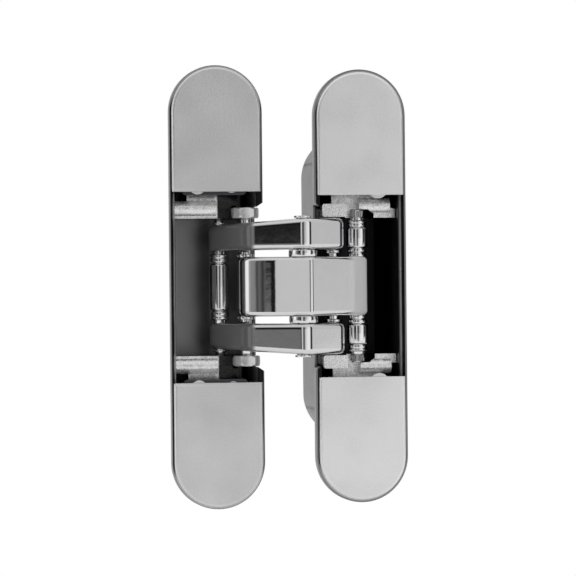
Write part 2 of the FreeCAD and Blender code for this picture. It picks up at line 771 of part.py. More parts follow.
BARREL_TOP = CENTRAL_TOP - size("frame_barrel_inset")
BARREL_EDGE = size("barrel_edge")
INNER_END = OUTER_FOOT - AIR / 2
COLLAR_TOP = INNER_END - size("collar_gap")
TIP_DROP = size("tip_taper_part") * size("tip_taper")
make_turned("frame_tip_barrel", TIP["frame"], [ring(TIP_BORE, BARREL, -BARREL_TOP, BARREL_TOP, BARREL_EDGE)])
make_turned("frame_tip_collars", TIP["frame"], both([
    [(TIP_BORE, BARREL_TOP), (NECK, BARREL_TOP), (NECK, BARREL_TOP + EDGE),
     (COLLAR - EDGE, BARREL_TOP + EDGE), (COLLAR, BARREL_TOP + 2 * EDGE), (COLLAR, COLLAR_TOP - EDGE),
     (COLLAR - EDGE, COLLAR_TOP), (NECK, COLLAR_TOP), (NECK, INNER_END), (TIP_BORE, INNER_END)],
    ring(TIP_BORE, NECK, OUTER_TOP - TIP_DROP, OUTER_TOP - TIP_DROP + size("tip_washer"), AIR)]))

DOOR_FOOT = OUTER_FOOT + size("door_barrel_foot")
DOOR_BARREL_TOP = OUTER_TOP - size("door_barrel_top")
DOOR_COLLAR_TOP = OUTER_TOP - size("door_collar_top")
DOOR_TOP = CARRIAGE_FOOT - size("door_collar_clearance")
DOOR_WASHER_TOP = CENTRAL_TOP + size("washer_thickness")
COLLAR_FOOT = OUTER_FOOT - size("door_collar_foot")
make_turned("door_tip_barrels", TIP["door"], both([
    ring(TIP_BORE, BARREL + size("door_barrel_more"), DOOR_FOOT, DOOR_BARREL_TOP, BARREL_EDGE)]))
make_turned("door_tip_collars", TIP["door"], both([
    [(TIP_BORE, CENTRAL_TOP), (WASHER, CENTRAL_TOP), (WASHER, DOOR_WASHER_TOP), (NECK, DOOR_WASHER_TOP),
     (NECK, COLLAR_FOOT - EDGE), (COLLAR, COLLAR_FOOT), (COLLAR, DOOR_FOOT - EDGE),
     (NECK, DOOR_FOOT - EDGE), (NECK, DOOR_FOOT), (TIP_BORE, DOOR_FOOT)],
    [(TIP_BORE, DOOR_BARREL_TOP), (NECK, DOOR_BARREL_TOP), (NECK, DOOR_BARREL_TOP + EDGE),
     (COLLAR, DOOR_BARREL_TOP + EDGE), (COLLAR, DOOR_COLLAR_TOP - EDGE), (NECK, DOOR_COLLAR_TOP),
     (NECK, DOOR_TOP), (TIP_BORE, DOOR_TOP)]]))


# Carriages: cast blocks at the top and bottom of each pocket. The plate holds
# the end of the pivot pin and has the curved guide slot of the tip pin; the
# tower behind it carries the adjusting screws
def guide_slot(leaf, foot, depth):
    """Channel along the tip pin's path, one guide bush and its clearance wide."""
    half = size("guide_bush_radius") + size("slot_clearance")
    steps = 12
    places = [tip_path(leaf, index / steps) for index in range(steps + 1)]
    curve = Part.BSplineCurve()
    curve.interpolate([point(leaf, place.real, place.imag) for place in places])
    left = []
    right = []
    for index in range(steps + 1):
        parameter = curve.FirstParameter + (curve.LastParameter - curve.FirstParameter) * index / steps
        across = side_of(curve.tangent(parameter)[0]) * half
        spot = curve.value(parameter)
        left.append(spot + across)
        right.append(spot - across)
    first = curve.value(curve.FirstParameter)
    last = curve.value(curve.LastParameter)
    start_out = curve.tangent(curve.FirstParameter)[0] * -half
    end_out = curve.tangent(curve.LastParameter)[0] * half
    edge_left = Part.BSplineCurve()
    edge_left.interpolate(left)
    edge_right = Part.BSplineCurve()
    edge_right.interpolate(right)
    edges = [
        edge_left.toShape(),
        Part.Arc(left[-1], last + end_out, right[-1]).toShape(),
        edge_right.toShape(),
        Part.Arc(right[0], first + start_out, left[0]).toShape(),
    ]
    face = Part.Face(Part.Wire(Part.__sortEdges__(edges)))
    channel = face.extrude(Vector(0, 0, depth))
    channel.translate(Vector(0, 0, foot))
    return channel


def make_carriage(leaf, level):
    up = LEVELS[level]
    label = "%s_carriage_%s" % (leaf, level)
    inner = size("case_inset") + size("case_wall") + AIR
    pivot = local(leaf, "pivot")
    ear = size("hex_radius") if leaf == "frame" else size("door_ear_radius")
    front = size("nose_setback")
    body = new_body(label + "_casting")

    # plate, with a round ear at the pivot pin
    chamfer = size("carriage_corner")
    shoulder = size("case_shoulder")
    outer = inner_wall(shoulder) - AIR
    outline = [
        point(leaf, inner, pivot.imag),
        point(leaf, inner, FLOOR_DEPTH - chamfer),
        point(leaf, inner + chamfer, FLOOR_DEPTH),
        point(leaf, inner_wall(FLOOR_DEPTH) - AIR - chamfer, FLOOR_DEPTH),
        point(leaf, inner_wall(FLOOR_DEPTH - chamfer) - AIR, FLOOR_DEPTH - chamfer),
        point(leaf, outer, shoulder),
        point(leaf, outer, front + size("carriage_nose")),
        point(leaf, pivot.real + ear, front + size("carriage_nose")),
        point(leaf, pivot.real + ear, pivot.imag),
    ]
    plate_foot = CARRIAGE_FOOT if up > 0 else -CARRIAGE_TOP
    sketch = plan_sketch(body, label + "_plate_outline", plate_foot)
    draw_outline(sketch, outline, [0] * len(outline))
    pad(body, sketch, label + "_plate", "Sizes.carriage_plate")
    if leaf == "door":
        # flat-fronted block round the pivot pin
        edges = sorted([leaf_x(leaf, pivot.real - ear), leaf_x(leaf, pivot.real + ear)])
        heights = sorted([up * (CARRIAGE_FOOT + size("door_block_lift")), up * (CARRIAGE_FOOT + size("door_block_top"))])
        block_depth = pivot.imag - ear
        sketch = front_sketch(body, label + "_block_outline", FACE_Y + block_depth)
        draw_outline(sketch, rectangle(edges[0], edges[1], heights[0], heights[1]), [size("nose_corner")] * 4)
        pad(body, sketch, label + "_block", "2 * Sizes.door_ear_radius", True)

    # round-fronted nose that shows in the window
    nose = size("carriage_nose")
    nose_start = size(leaf + "_nose_start")
    nose_end = outer if leaf == "frame" else size("door_nose_end")
    nose_axis = up * (CARRIAGE_FOOT + nose + size(leaf + "_nose_lift"))
    edges = sorted([leaf_x(leaf, nose_start), leaf_x(leaf, nose_end)])
    sketch = front_sketch(body, label + "_nose_outline", FACE_Y + front + nose)
    heights = sorted([nose_axis - nose, nose_axis + nose])
    draw_outline(sketch, rectangle(edges[0], edges[1], heights[0], heights[1]), [size("nose_corner")] * 4)
    pad(body, sketch, label + "_nose", "Sizes.nose_root", True)

    # tower, stepped forward under the clamp plate
    edges = sorted([leaf_x(leaf, size("tower_left")), leaf_x(leaf, size("tower_right"))])
    heights = sorted([up * (CARRIAGE_FOOT + size("slot_floor")), up * TOWER_TOP])
    sketch = front_sketch(body, label + "_tower_outline", FACE_Y + size("tower_setback"))
    draw_outline(sketch, rectangle(edges[0], edges[1], heights[0], heights[1]), [size("tower_corner")] * 4)
    tower = pad(body, sketch, label + "_tower", "1", True)
    tower.setExpression(
        "Length", "Sizes.cover_thickness + Sizes.case_depth - Sizes.case_floor - Sizes.tower_setback")
    heights = sorted([up * (STEP_HEIGHT + AIR), up * TOWER_TOP])
    step_y = size("cover_thickness") + size("screw_head_height") + size("clamp_thickness") + size("cover_air")
    sketch = front_sketch(body, label + "_step_outline", FACE_Y + step_y)
    draw_outline(sketch, rectangle(edges[0], edges[1], heights[0], heights[1]), [size("tower_corner")] * 4)
    step = pad(body, sketch, label + "_step", "1", True)
    step.setExpression("Length", "Sizes.tower_setback - %s" % step_y)

    # bores of the adjusting screw and the lock screw
    sketch = front_sketch(body, label + "_screw_outline", FACE_Y + step_y)
    for reach in (size(leaf + "_screw_reach"), size("lock_screw_reach")):
        spot = Vector(leaf_x(leaf, reach), up * SCREW_HEIGHT[leaf], 0)
        draw_circle(sketch, spot, size("screw_shank_radius") + CLEAR)
    pocket(body, sketch, label + "_screw_bores", "Sizes.screw_length + Sizes.slot_floor")

    # round front of the nose
    cylinder = doc.addObject("Part::Cylinder", label + "_nose_round")
    cylinder.setExpression("Radius", "Sizes.carriage_nose")
    cylinder.Height = abs(leaf_x(leaf, nose_end) - leaf_x(leaf, nose_start))
    low_x = min(leaf_x(leaf, nose_start), leaf_x(leaf, nose_end))
    cylinder.Placement = Placement(
        Vector(low_x, FACE_Y + front + nose, nose_axis), Rotation(Vector(0, 1, 0), 90))

    # guide slot and pin hole
    channel = doc.addObject("Part::Feature", label + "_guide_channel")
    slot_depth = size("carriage_plate") - size("slot_floor")
    slot_foot = OUTER_TOP if up > 0 else -(CARRIAGE_FOOT + slot_depth)
    channel.Shape = guide_slot(leaf, slot_foot, slot_depth + size("carriage_lift"))
    hole = doc.addObject("Part::Cylinder", label + "_pin_hole")
    hole.Radius = CLEAR + (size("hex_radius") if leaf == "frame" else size("pivot_pin_radius"))
    hole.Height = 2 * (size("carriage_plate") + 1)
    hole.Placement = Placement(PIVOT[leaf] + Vector(0, 0, up * CARRIAGE_FOOT - size("carriage_plate") - 1), Rotation())

    joined = doc.addObject("Part::Fuse", label + "_joined")
    joined.Base = body
    joined.Tool = cylinder
    slotted = doc.addObject("Part::Cut", label + "_slotted")
    slotted.Base = joined
    slotted.Tool = channel
    carriage = doc.addObject("Part::Cut", label)
    carriage.Base = slotted
    carriage.Tool = hole
    carriage.Refine = True
    carriage.Label = label
    doc.recompute()
    return carriage


for leaf_name in LEAVES:
    for level_name in LEVELS:
        make_carriage(leaf_name, level_name)


# Hexagonal bushes that hold the frame pivot pin
def make_hex_bushes():
    length = size("carriage_plate") + EDGE
    solids = []
    for up in LEVELS.values():
        corners = []
        for index in range(6):
            angle = math.radians(60 * index)
            corners.append(Vector(math.cos(angle), math.sin(angle), 0) * size("hex_radius"))
        face = Part.Face(Part.makePolygon(corners + [corners[0]]))
        prism = face.extrude(Vector(0, 0, length))
        hole = Part.makeCylinder(size("pivot_pin_radius") + CLEAR, length)
        bush = prism.cut(hole)
        foot = CARRIAGE_FOOT if up > 0 else -CARRIAGE_FOOT - length
        bush.translate(Vector(0, 0, foot))
        solids.append(bush)
    feature = doc.addObject("Part::Feature", "frame_hex_bushes")
    feature.Label = "frame_hex_bushes"
    feature.Shape = Part.makeCompound(solids)
    feature.Placement = Placement(PIVOT["frame"], Rotation())
    return feature


make_hex_bushes()


# Clamp plates under the covers, each held by an adjusting screw and a lock screw
def make_clamp(leaf, level):
    up = LEVELS[level]
    label = "%s_clamp_plate_%s" % (leaf, level)
    body = new_body(label)
    edges = sorted([leaf_x(leaf, size("clamp_left")), leaf_x(leaf, size("clamp_right"))])
    heights = sorted([up * (STEP_HEIGHT + AIR), up * CLAMP_TOP])
    front = size("cover_thickness") + size("screw_head_height") + size("cover_air")
    sketch = front_sketch(body, label + "_outline", FACE_Y + front)
    draw_outline(sketch, rectangle(edges[0], edges[1], heights[0], heights[1]), [size("clamp_corner")] * 4)
    for reach in (size(leaf + "_screw_reach"), size("lock_screw_reach")):
        spot = Vector(leaf_x(leaf, reach), up * SCREW_HEIGHT[leaf], 0)
        draw_circle(sketch, spot, size("screw_shank_radius") + CLEAR)
    centre = Vector(leaf_x(leaf, PLATE / 2), up * POST_HEIGHTS[leaf][0], 0)
    draw_circle(sketch, centre, size("cover_post_radius") + size("clamp_post_clearance"))
    pad(body, sketch, label + "_blank", "Sizes.clamp_thickness", True)
    return body


for leaf_name in LEAVES:
    for level_name in LEVELS:
        make_clamp(leaf_name, level_name)


def make_screws(label, spots, head_radius, socket_radius):
    """Flat-headed socket screws that point into the leaf."""
    front = FACE_Y + size("cover_thickness") + size("cover_air")
    head = size("screw_head_height")
    solids = []
    for spot in spots:
        base = Vector(spot.x, front, spot.z)
        away = Vector(0, 1, 0)
        cap = Part.makeCylinder(head_radius, head, base, away)
        shank = Part.makeCylinder(size("screw_shank_radius"), size("screw_length"), base + away * head, away)
        corners = []
        for index in range(7):
            angle = math.radians(60 * index)
            corners.append(base + Vector(math.cos(angle), 0, math.sin(angle)) * socket_radius)
        socket = Part.Face(Part.makePolygon(corners)).extrude(away * size("socket_depth"))
        solids.append(cap.fuse(shank).cut(socket).removeSplitter())
    feature = doc.addObject("Part::Feature", label)
    feature.Label = label
    feature.Shape = Part.makeCompound(solids)
    feature.Placement = Placement()
    return feature


for leaf_name in LEAVES:
    spot_height = SCREW_HEIGHT[leaf_name]
    make_screws(
        leaf_name + "_adjusting_screws",
        [Vector(leaf_x(leaf_name, size(leaf_name + "_screw_reach")), 0, up * spot_height) for up in (1, -1)],
        size(leaf_name + "_screw_head"), size("adjusting_socket"))
    make_screws(
        leaf_name + "_lock_screws",
        [Vector(leaf_x(leaf_name, size("lock_screw_reach")), 0, up * spot_height) for up in (1, -1)],
        size("lock_screw_head"), size("lock_socket"))

# Files: one for each piece
doc.recompute()
for item in doc.Objects:
    if "Invalid" in item.State or "Error" in item.State:
        raise RuntimeError("feature failed: " + item.Label)

PIECES = ["centre_pin", "centre_washers", "central_arm", "outer_arm_upper", "outer_arm_lower", "frame_hex_bushes",
          "frame_tip_barrel", "frame_tip_collars", "door_tip_barrels", "door_tip_collars"]
for leaf_name in LEAVES:
    for piece in ("housing", "pivot_pin", "pivot_washers", "tip_pin", "guide_bushes",
                  "adjusting_screws", "lock_screws"):
        PIECES.append("%s_%s" % (leaf_name, piece))
    for piece in ("cover", "carriage", "clamp_plate"):
        for level_name in LEVELS:
            PIECES.append("%s_%s_%s" % (leaf_name, piece, level_name))

os.makedirs("parts", exist_ok=True)
for label in PIECES:
    found = doc.getObjectsByLabel(label)
    if len(found) != 1:
        raise RuntimeError("piece is missing: " + label)
    shape = found[0].Shape
    if shape.isNull() or not shape.isValid():
        raise RuntimeError("shape is not sound: " + label)
    shape.exportStep("parts/%s.step" % label)
print("%d pieces, frame swing %.2f, door swing %.2f degrees" % (
    len(PIECES), math.degrees(swing("frame")), math.degrees(swing("door"))))
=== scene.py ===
import math

import bmesh
import bpy
import numpy as np
from mathutils import Matrix, Vector


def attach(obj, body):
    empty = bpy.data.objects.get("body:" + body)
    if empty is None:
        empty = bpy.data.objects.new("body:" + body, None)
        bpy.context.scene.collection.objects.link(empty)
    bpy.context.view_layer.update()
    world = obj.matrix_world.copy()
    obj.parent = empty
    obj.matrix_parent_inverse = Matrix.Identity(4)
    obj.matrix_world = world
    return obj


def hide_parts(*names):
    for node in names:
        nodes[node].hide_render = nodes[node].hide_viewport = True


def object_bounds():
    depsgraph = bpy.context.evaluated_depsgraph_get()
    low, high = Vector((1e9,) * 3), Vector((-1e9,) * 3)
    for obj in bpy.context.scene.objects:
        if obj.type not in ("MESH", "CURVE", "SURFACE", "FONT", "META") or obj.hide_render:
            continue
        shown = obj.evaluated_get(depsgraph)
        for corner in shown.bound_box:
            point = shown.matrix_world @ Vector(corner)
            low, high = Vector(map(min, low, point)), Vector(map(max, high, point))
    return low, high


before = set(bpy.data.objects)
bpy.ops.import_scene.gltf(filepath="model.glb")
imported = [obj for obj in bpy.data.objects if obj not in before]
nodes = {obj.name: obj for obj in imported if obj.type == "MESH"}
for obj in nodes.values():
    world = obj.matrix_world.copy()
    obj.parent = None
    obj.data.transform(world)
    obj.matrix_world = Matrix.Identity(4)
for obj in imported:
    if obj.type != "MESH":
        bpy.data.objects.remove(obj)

cad_low, cad_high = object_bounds()


# Leaf housings. Each leaf is one zinc die casting: a round-ended flange, a deep
# case behind it and the pocket for the folded arms. It is plated; painted shade
# darkens it inside the pocket, and its rim and ledge get painted levels.
def new_group(name, numbers, outputs):
    """Shader group that takes a Place and numbers, and puts out numbers."""
    group = bpy.data.node_groups.new(name, "ShaderNodeTree")
    socket = group.interface.new_socket
    socket(name="Place", in_out="INPUT", socket_type="NodeSocketVector")
    for number, value in numbers.items():
        socket(name=number, in_out="INPUT", socket_type="NodeSocketFloat").default_value = value
    for number in outputs:
        socket(name=number, in_out="OUTPUT", socket_type="NodeSocketFloat")
    return group, group.nodes.new("NodeGroupInput"), group.nodes.new("NodeGroupOutput")


def feed(tree, value, socket):
    """Give a socket its value: a number, or a link from another socket."""
    if isinstance(value, (int, float)):
        socket.default_value = value
    else:
        tree.links.new(value, socket)


def maths(tree, operation, *operands):
    """Math node whose operands are sockets or numbers."""
    node = tree.nodes.new("ShaderNodeMath")
    node.operation = operation
    for value, socket in zip(operands, node.inputs):
        feed(tree, value, socket)
    return node.outputs[0]


def product(tree, result, *others):
    """All values multiplied, one after the other."""
    for value in others:
        result = maths(tree, "MULTIPLY", result, value)
    return result


def fade_between(tree, value, start, end, first, last):
    """Smooth step from one level at the start to another at the end."""
    node = tree.nodes.new("ShaderNodeMapRange")
    node.interpolation_type = "SMOOTHSTEP"
    feed(tree, value, node.inputs["Value"])
    feed(tree, start, node.inputs["From Min"])
    feed(tree, end, node.inputs["From Max"])
    feed(tree, first, node.inputs["To Min"])
    feed(tree, last, node.inputs["To Max"])
    return node.outputs["Result"]


def split_place(tree, place):
    """X, Y and Z of a place."""
    split = tree.nodes.new("ShaderNodeSeparateXYZ")
    tree.links.new(place, split.inputs[0])
    return split.outputs["X"], split.outputs["Y"], split.outputs["Z"]


GRAIN_SHARE = 0.6


def cast_skin_group():
    """Tone, roughness and height of plated metal: fine grain over slow blotches.

    With both noises less a half, 0.6 * grain + blotch times the Spread adds to
    the Roughness, and times the Tone it adds to 1. The height is the grain
    times the Relief + the blotch times the Swell.
    """
    tree, entry, leave = new_group(
        "cast_skin",
        {"Grain": 2500.0, "Blotch": 90.0, "Roughness": 0.3, "Spread": 0.08, "Tone": 0.08,
         "Relief": 0.3, "Swell": 0.0},
        ("Roughness", "Tone", "Height"))
    given = entry.outputs
    noises = []
    for scale, detail in (("Grain", 3.0), ("Blotch", 1.5)):
        texture = tree.nodes.new("ShaderNodeTexNoise")
        texture.inputs["Detail"].default_value = detail
        tree.links.new(given["Place"], texture.inputs["Vector"])
        tree.links.new(given[scale], texture.inputs["Scale"])
        noises.append(texture.outputs["Fac"])
    grain, blotch = noises
    both = maths(tree, "MULTIPLY_ADD", maths(tree, "SUBTRACT", grain, 0.5), GRAIN_SHARE,
                 maths(tree, "SUBTRACT", blotch, 0.5))
    rough = maths(tree, "MULTIPLY_ADD", both, given["Spread"], given["Roughness"])
    tone = maths(tree, "MULTIPLY_ADD", both, given["Tone"], 1.0)
    height = product(tree, grain, given["Relief"])
    height = maths(tree, "MULTIPLY_ADD", blotch, given["Swell"], height)
    tree.links.new(rough, leave.inputs["Roughness"])
    tree.links.new(tone, leave.inputs["Tone"])
    tree.links.new(height, leave.inputs["Height"])
    return tree


# Painted shade by place, in metres: the fade past a recess's side and its level there.
SIDE_FADE = 0.0005
SIDE_SHADE = 0.03


def painted_shade_group():
    """Painted shade in a recess, three fades multiplied.

    From 1 to the Floor along Y between Start and End, from 1 to the Floor along
    |Z| between Top and Top + Rise, and from 1 to 0.03 along X past the Side.
    """
    tree, entry, leave = new_group(
        "painted_recess_shade",
        {"Start": 0.0, "End": 0.01, "Floor": 0.1, "Top": 1.0, "Rise": 0.001, "Side": 1.0},
        ("Shade",))
    given = entry.outputs
    x, y, z = split_place(tree, given["Place"])
    # painted shade: darker deeper in along Y, above the Top and past the Side
    deep = fade_between(tree, y, given["Start"], given["End"], 1.0, given["Floor"])
    over = maths(tree, "ADD", given["Top"], given["Rise"])
    high = fade_between(tree, maths(tree, "ABSOLUTE", z), given["Top"], over, 1.0, given["Floor"])
    past = maths(tree, "ADD", given["Side"], SIDE_FADE)
    aside = fade_between(tree, x, given["Side"], past, 1.0, SIDE_SHADE)
    tree.links.new(product(tree, deep, high, aside), leave.inputs["Shade"])
    return tree


# Edges of a housing's zones, each the start and end of a fade in metres. The
# case's outer side leans in by 2.8 mm over its last 18.5 mm of depth.
LINE_FADE = 0.00005
FLANGE_FRONT = (-0.0012, -0.0008)
FLANGE_BACK = (0.0, 0.0004)
ROUND_END = (0.001, 0.006)
POCKET_SIDE = (0.0133, 0.0136)
POCKET_END = (0.0402, 0.0406)
POCKET_FLOOR = (0.0246, 0.0254)
WALL_START = (0.0127, 0.0129)
WALL_END = (0.0134, 0.0136)
DEPTH_FADE = 0.0003
LEAN_START = 0.0075
LEAN = 0.1514
# LEDGE_DARK: how far the painted shade darkens the ledge line.
LEDGE_DARK = 0.97
OUTSIDE_SHADE = 0.35
BARE_METALLIC = 0.1


def rim_paint_group():
    """Rim at a painted level, ledge in painted shade, dull outside and unplated pocket wall of a
    housing.

    The distance from the middle line, and from the centre of an end past the
    Shoulder, is sqrt(across^2 + along^2) with along = max(|Z| - Shoulder, 0).
    Past the Inner distance lies the rim, painted at the Glint level in place of
    other shading; past the Ledge the front is darkened with painted shade along
    the straight part, and the Shade given, painted shade of the recess, counts
    inside the pocket. A wall of tone Bare and little metal shows down to the Depth.
    """
    tree, entry, leave = new_group(
        "rim_painted_light",
        {"Middle": 0.0, "Shoulder": 0.05, "Inner": 0.0145, "Ledge": 0.0131, "Shade": 1.0,
         "Glint": 0.5, "Depth": 0.0, "Bare": 0.8, "Outer": 1.0},
        ("Shade", "Metallic"))
    given = entry.outputs
    x, y, z = split_place(tree, given["Place"])
    across = maths(tree, "SUBTRACT", x, given["Middle"])
    height = maths(tree, "ABSOLUTE", z)
    along = maths(tree, "MAXIMUM", maths(tree, "SUBTRACT", height, given["Shoulder"]), 0.0)
    far = maths(tree, "MULTIPLY_ADD", across, across, product(tree, along, along))
    far = maths(tree, "SQRT", far)

    front = fade_between(tree, y, *FLANGE_FRONT, 1.0, 0.0)
    # ledge: painted shade, a dark line on the flange's front along the straight sides
    step = maths(tree, "ADD", given["Ledge"], LINE_FADE)
    ledge = product(tree, fade_between(tree, along, *ROUND_END, LEDGE_DARK, 0.0),
                    fade_between(tree, far, given["Ledge"], step, 0.0, 1.0), front)
    # rim: painted at the Glint level over the other shading
    edge = maths(tree, "ADD", given["Inner"], LINE_FADE)
    rim = fade_between(tree, far, given["Inner"], edge, 0.0, 1.0)

    outwards = product(tree, across, given["Outer"])
    lean = maths(tree, "MULTIPLY", maths(tree, "SUBTRACT", y, LEAN_START), LEAN)
    outer_side = maths(tree, "ADD", outwards, maths(tree, "MAXIMUM", lean, 0.0))
    reach = maths(tree, "MAXIMUM", outer_side, maths(tree, "MULTIPLY", outwards, -1.0))
    inside = product(tree, fade_between(tree, reach, *POCKET_SIDE, 1.0, 0.0),
                     fade_between(tree, height, *POCKET_END, 1.0, 0.0),
                     fade_between(tree, y, *POCKET_FLOOR, 1.0, 0.0))
    outside = fade_between(tree, y, *FLANGE_BACK, 1.0, OUTSIDE_SHADE)
    shade = maths(tree, "SUBTRACT", given["Shade"], outside)
    shade = maths(tree, "MULTIPLY_ADD", shade, inside, outside)
    shade = product(tree, shade, maths(tree, "SUBTRACT", 1.0, ledge),
                    maths(tree, "SUBTRACT", 1.0, rim))
    shade = maths(tree, "MULTIPLY_ADD", rim, given["Glint"], shade)

    aside = maths(tree, "ABSOLUTE", across)
    deeper = maths(tree, "ADD", given["Depth"], DEPTH_FADE)
    wall = product(tree, fade_between(tree, aside, *WALL_START, 0.0, 1.0),
                   fade_between(tree, aside, *WALL_END, 1.0, 0.0),
                   maths(tree, "SUBTRACT", 1.0, front),
                   fade_between(tree, y, given["Depth"], deeper, 1.0, 0.0))
    shade = maths(tree, "MAXIMUM", shade, product(tree, wall, given["Bare"]))
    metallic = maths(tree, "MULTIPLY_ADD", wall, BARE_METALLIC - 1.0, 1.0)
    tree.links.new(shade, leave.inputs["Shade"])
    tree.links.new(metallic, leave.inputs["Metallic"])
    return tree


cast_skin = cast_skin_group()
painted_recess_shade = painted_shade_group()
rim_painted_light = rim_paint_group()


def place_group(tree, group, place, values):
    """Group node fed with Object coordinates and its own values."""
    node = tree.nodes.new("ShaderNodeGroup")
    node.node_tree = group
    tree.links.new(place.outputs["Object"], node.inputs["Place"])
    for socket, value in values.items():
        node.inputs[socket].default_value = value
    return node


def multiply_colour(tree, colour, factor, target):
    """Feed the target with a colour, plain or from a socket, times a factor."""
    tint = tree.nodes.new("ShaderNodeMix")
    tint.data_type = "RGBA"
    tint.blend_type = "MULTIPLY"
    tint.inputs["Factor"].default_value = 1.0
    if isinstance(colour, tuple):
        tint.inputs["A"].default_value = (*colour, 1.0)
    else:
        tree.links.new(colour, tint.inputs["A"])
    tree.links.new(factor, tint.inputs["B"])
    tree.links.new(tint.outputs["Result"], target)


RELIEF_DISTANCE = 0.0001


def metal_material(name, colour, skin, recess=None, rim=None, metallic=1.0):
    """Plated metal: colour * tone of the cast skin * painted shade of the recess and painted
    levels of the rim.
    """
    material = bpy.data.materials.new(name)
    material.use_nodes = True
    tree = material.node_tree
    shader = tree.nodes["Principled BSDF"]
    shader.inputs["Metallic"].default_value = metallic
    place = tree.nodes.new("ShaderNodeTexCoord")
    surface = place_group(tree, cast_skin, place, skin)
    factor = surface.outputs["Tone"]
    # painted shade of a recess, then the painted rim and ledge levels over it
    if recess is not None:
        shade = place_group(tree, painted_recess_shade, place, recess).outputs["Shade"]
        if rim is not None:
            rim_paint = place_group(tree, rim_painted_light, place, rim)
            tree.links.new(shade, rim_paint.inputs["Shade"])
            tree.links.new(rim_paint.outputs["Metallic"], shader.inputs["Metallic"])
            shade = rim_paint.outputs["Shade"]
        factor = product(tree, factor, shade)
    gather = tree.nodes.new("ShaderNodeCombineColor")
    for channel in ("Red", "Green", "Blue"):
        tree.links.new(factor, gather.inputs[channel])
    multiply_colour(tree, colour, gather.outputs["Color"], shader.inputs["Base Color"])
    tree.links.new(surface.outputs["Roughness"], shader.inputs["Roughness"])
    relief = tree.nodes.new("ShaderNodeBump")
    relief.inputs["Distance"].default_value = RELIEF_DISTANCE
    tree.links.new(surface.outputs["Height"], relief.inputs["Height"])
    tree.links.new(relief.outputs["Normal"], shader.inputs["Normal"])
    return material


def dress(name, material):
    """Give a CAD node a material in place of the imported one."""
    for slot in nodes[name].material_slots:
        slot.material = material


# In metres: each leaf's middle line, the centre of its round ends, and the rim's start.
LEAVES = {"frame": 0.0, "door": 0.0468}
SHOULDERS = {"frame": 0.056, "door": 0.05475}
RIM_INNER = {"frame": 0.01475, "door": 0.0144}
# Painted shade at the pocket's floor, near black in the door leaf; the door's wall has no Bare
# tone, so its painted shade stays.
CASE_PAINTED_SHADE = {"frame": 0.40, "door": 0.03}
BARE_WALL = {"frame": 0.34, "door": 0.0}
OUTER_SIDE = {"frame": -1.0, "door": 1.0}
LEVELS = {"upper": 1, "lower": -1}
for leaf, middle in LEAVES.items():
    # painted shade in the recess, the rim at its painted Glint level and the ledge in painted
    # shade
    dress(leaf + "_housing", metal_material(
        leaf + "_case_plating", (0.60, 0.60, 0.61),
        {"Grain": 1800.0, "Blotch": 120.0, "Roughness": 0.30, "Spread": 0.10, "Tone": 0.12,
         "Relief": 0.20, "Swell": 0.15},
        {"Start": -0.0029, "End": 0.0005, "Floor": CASE_PAINTED_SHADE[leaf]},
        {"Middle": middle, "Shoulder": SHOULDERS[leaf], "Inner": RIM_INNER[leaf],
         "Ledge": 0.0130, "Glint": 0.5, "Depth": 0.020, "Bare": BARE_WALL[leaf],
         "Outer": OUTER_SIDE[leaf]}))


# Covers. Satin plates 1.5 mm thick with one round end, eased along the arc and
# the sides and nearly plain along the window. Each is held by two posts that
# push into the flange. From here on shapes are drawn in millimetres.
MILLIMETRES = 1000.0
MITRE_FLOOR = 0.2
MERGE_DISTANCE = 1e-7
SHARP_ANGLE = math.radians(32.0)
EASE_SHARE = 0.45
ON_AXIS = 1e-6


def belt(pulleys, turns):
    """Closed line round a row of circles, as a belt goes round pulleys.

    A row is a centre and a radius, minus where the belt passes on the inside.
    Two circles are joined by their common tangent, whose outward normal stands
    at the angle of the line of centres less arccos of (radius less next radius)
    over their distance. Gives centres, radii, normal angles and mitres of the
    points; a mitre is (first normal + last normal) over (1 + their product).
    """
    rows = np.array(pulleys, dtype=float)
    centre, radius = rows[:, :2], rows[:, 2]
    ahead = np.roll(centre, -1, axis=0) - centre
    narrowing = (radius - np.roll(radius, -1)) / np.hypot(*ahead.T)
    leave = np.arctan2(ahead[:, 1], ahead[:, 0]) - np.arccos(narrowing)
    arrive = np.roll(leave, 1)
    sweep = np.where(radius > 0, np.mod(leave - arrive, math.tau),
                     -np.mod(arrive - leave, math.tau))
    angle = (arrive[:, None] + sweep[:, None] * np.linspace(0.0, 1.0, turns)[None, :]).ravel()
    first = np.stack([np.cos(arrive), np.sin(arrive)], axis=1)
    last = np.stack([np.cos(leave), np.sin(leave)], axis=1)
    spread = np.maximum(1 + (first * last).sum(axis=1), MITRE_FLOOR)
    mitre = (first + last) / spread[:, None]
    return (np.repeat(centre, turns, axis=0), np.repeat(radius, turns), angle,
            np.repeat(mitre, turns, axis=0))


def ring_faces(rings, around, closed=False):
    """Quads between neighbouring rings of points; closed joins the last to the first."""
    here = np.arange(rings * around).reshape(rings, around)
    beside = np.roll(here, -1, axis=1)
    above = np.roll(here, -1, axis=0)
    above_beside = np.roll(beside, -1, axis=0)
    faces = np.stack([here, beside, above_beside, above], axis=-1)
    return (faces if closed else faces[:-1]).reshape(-1, 4).tolist()


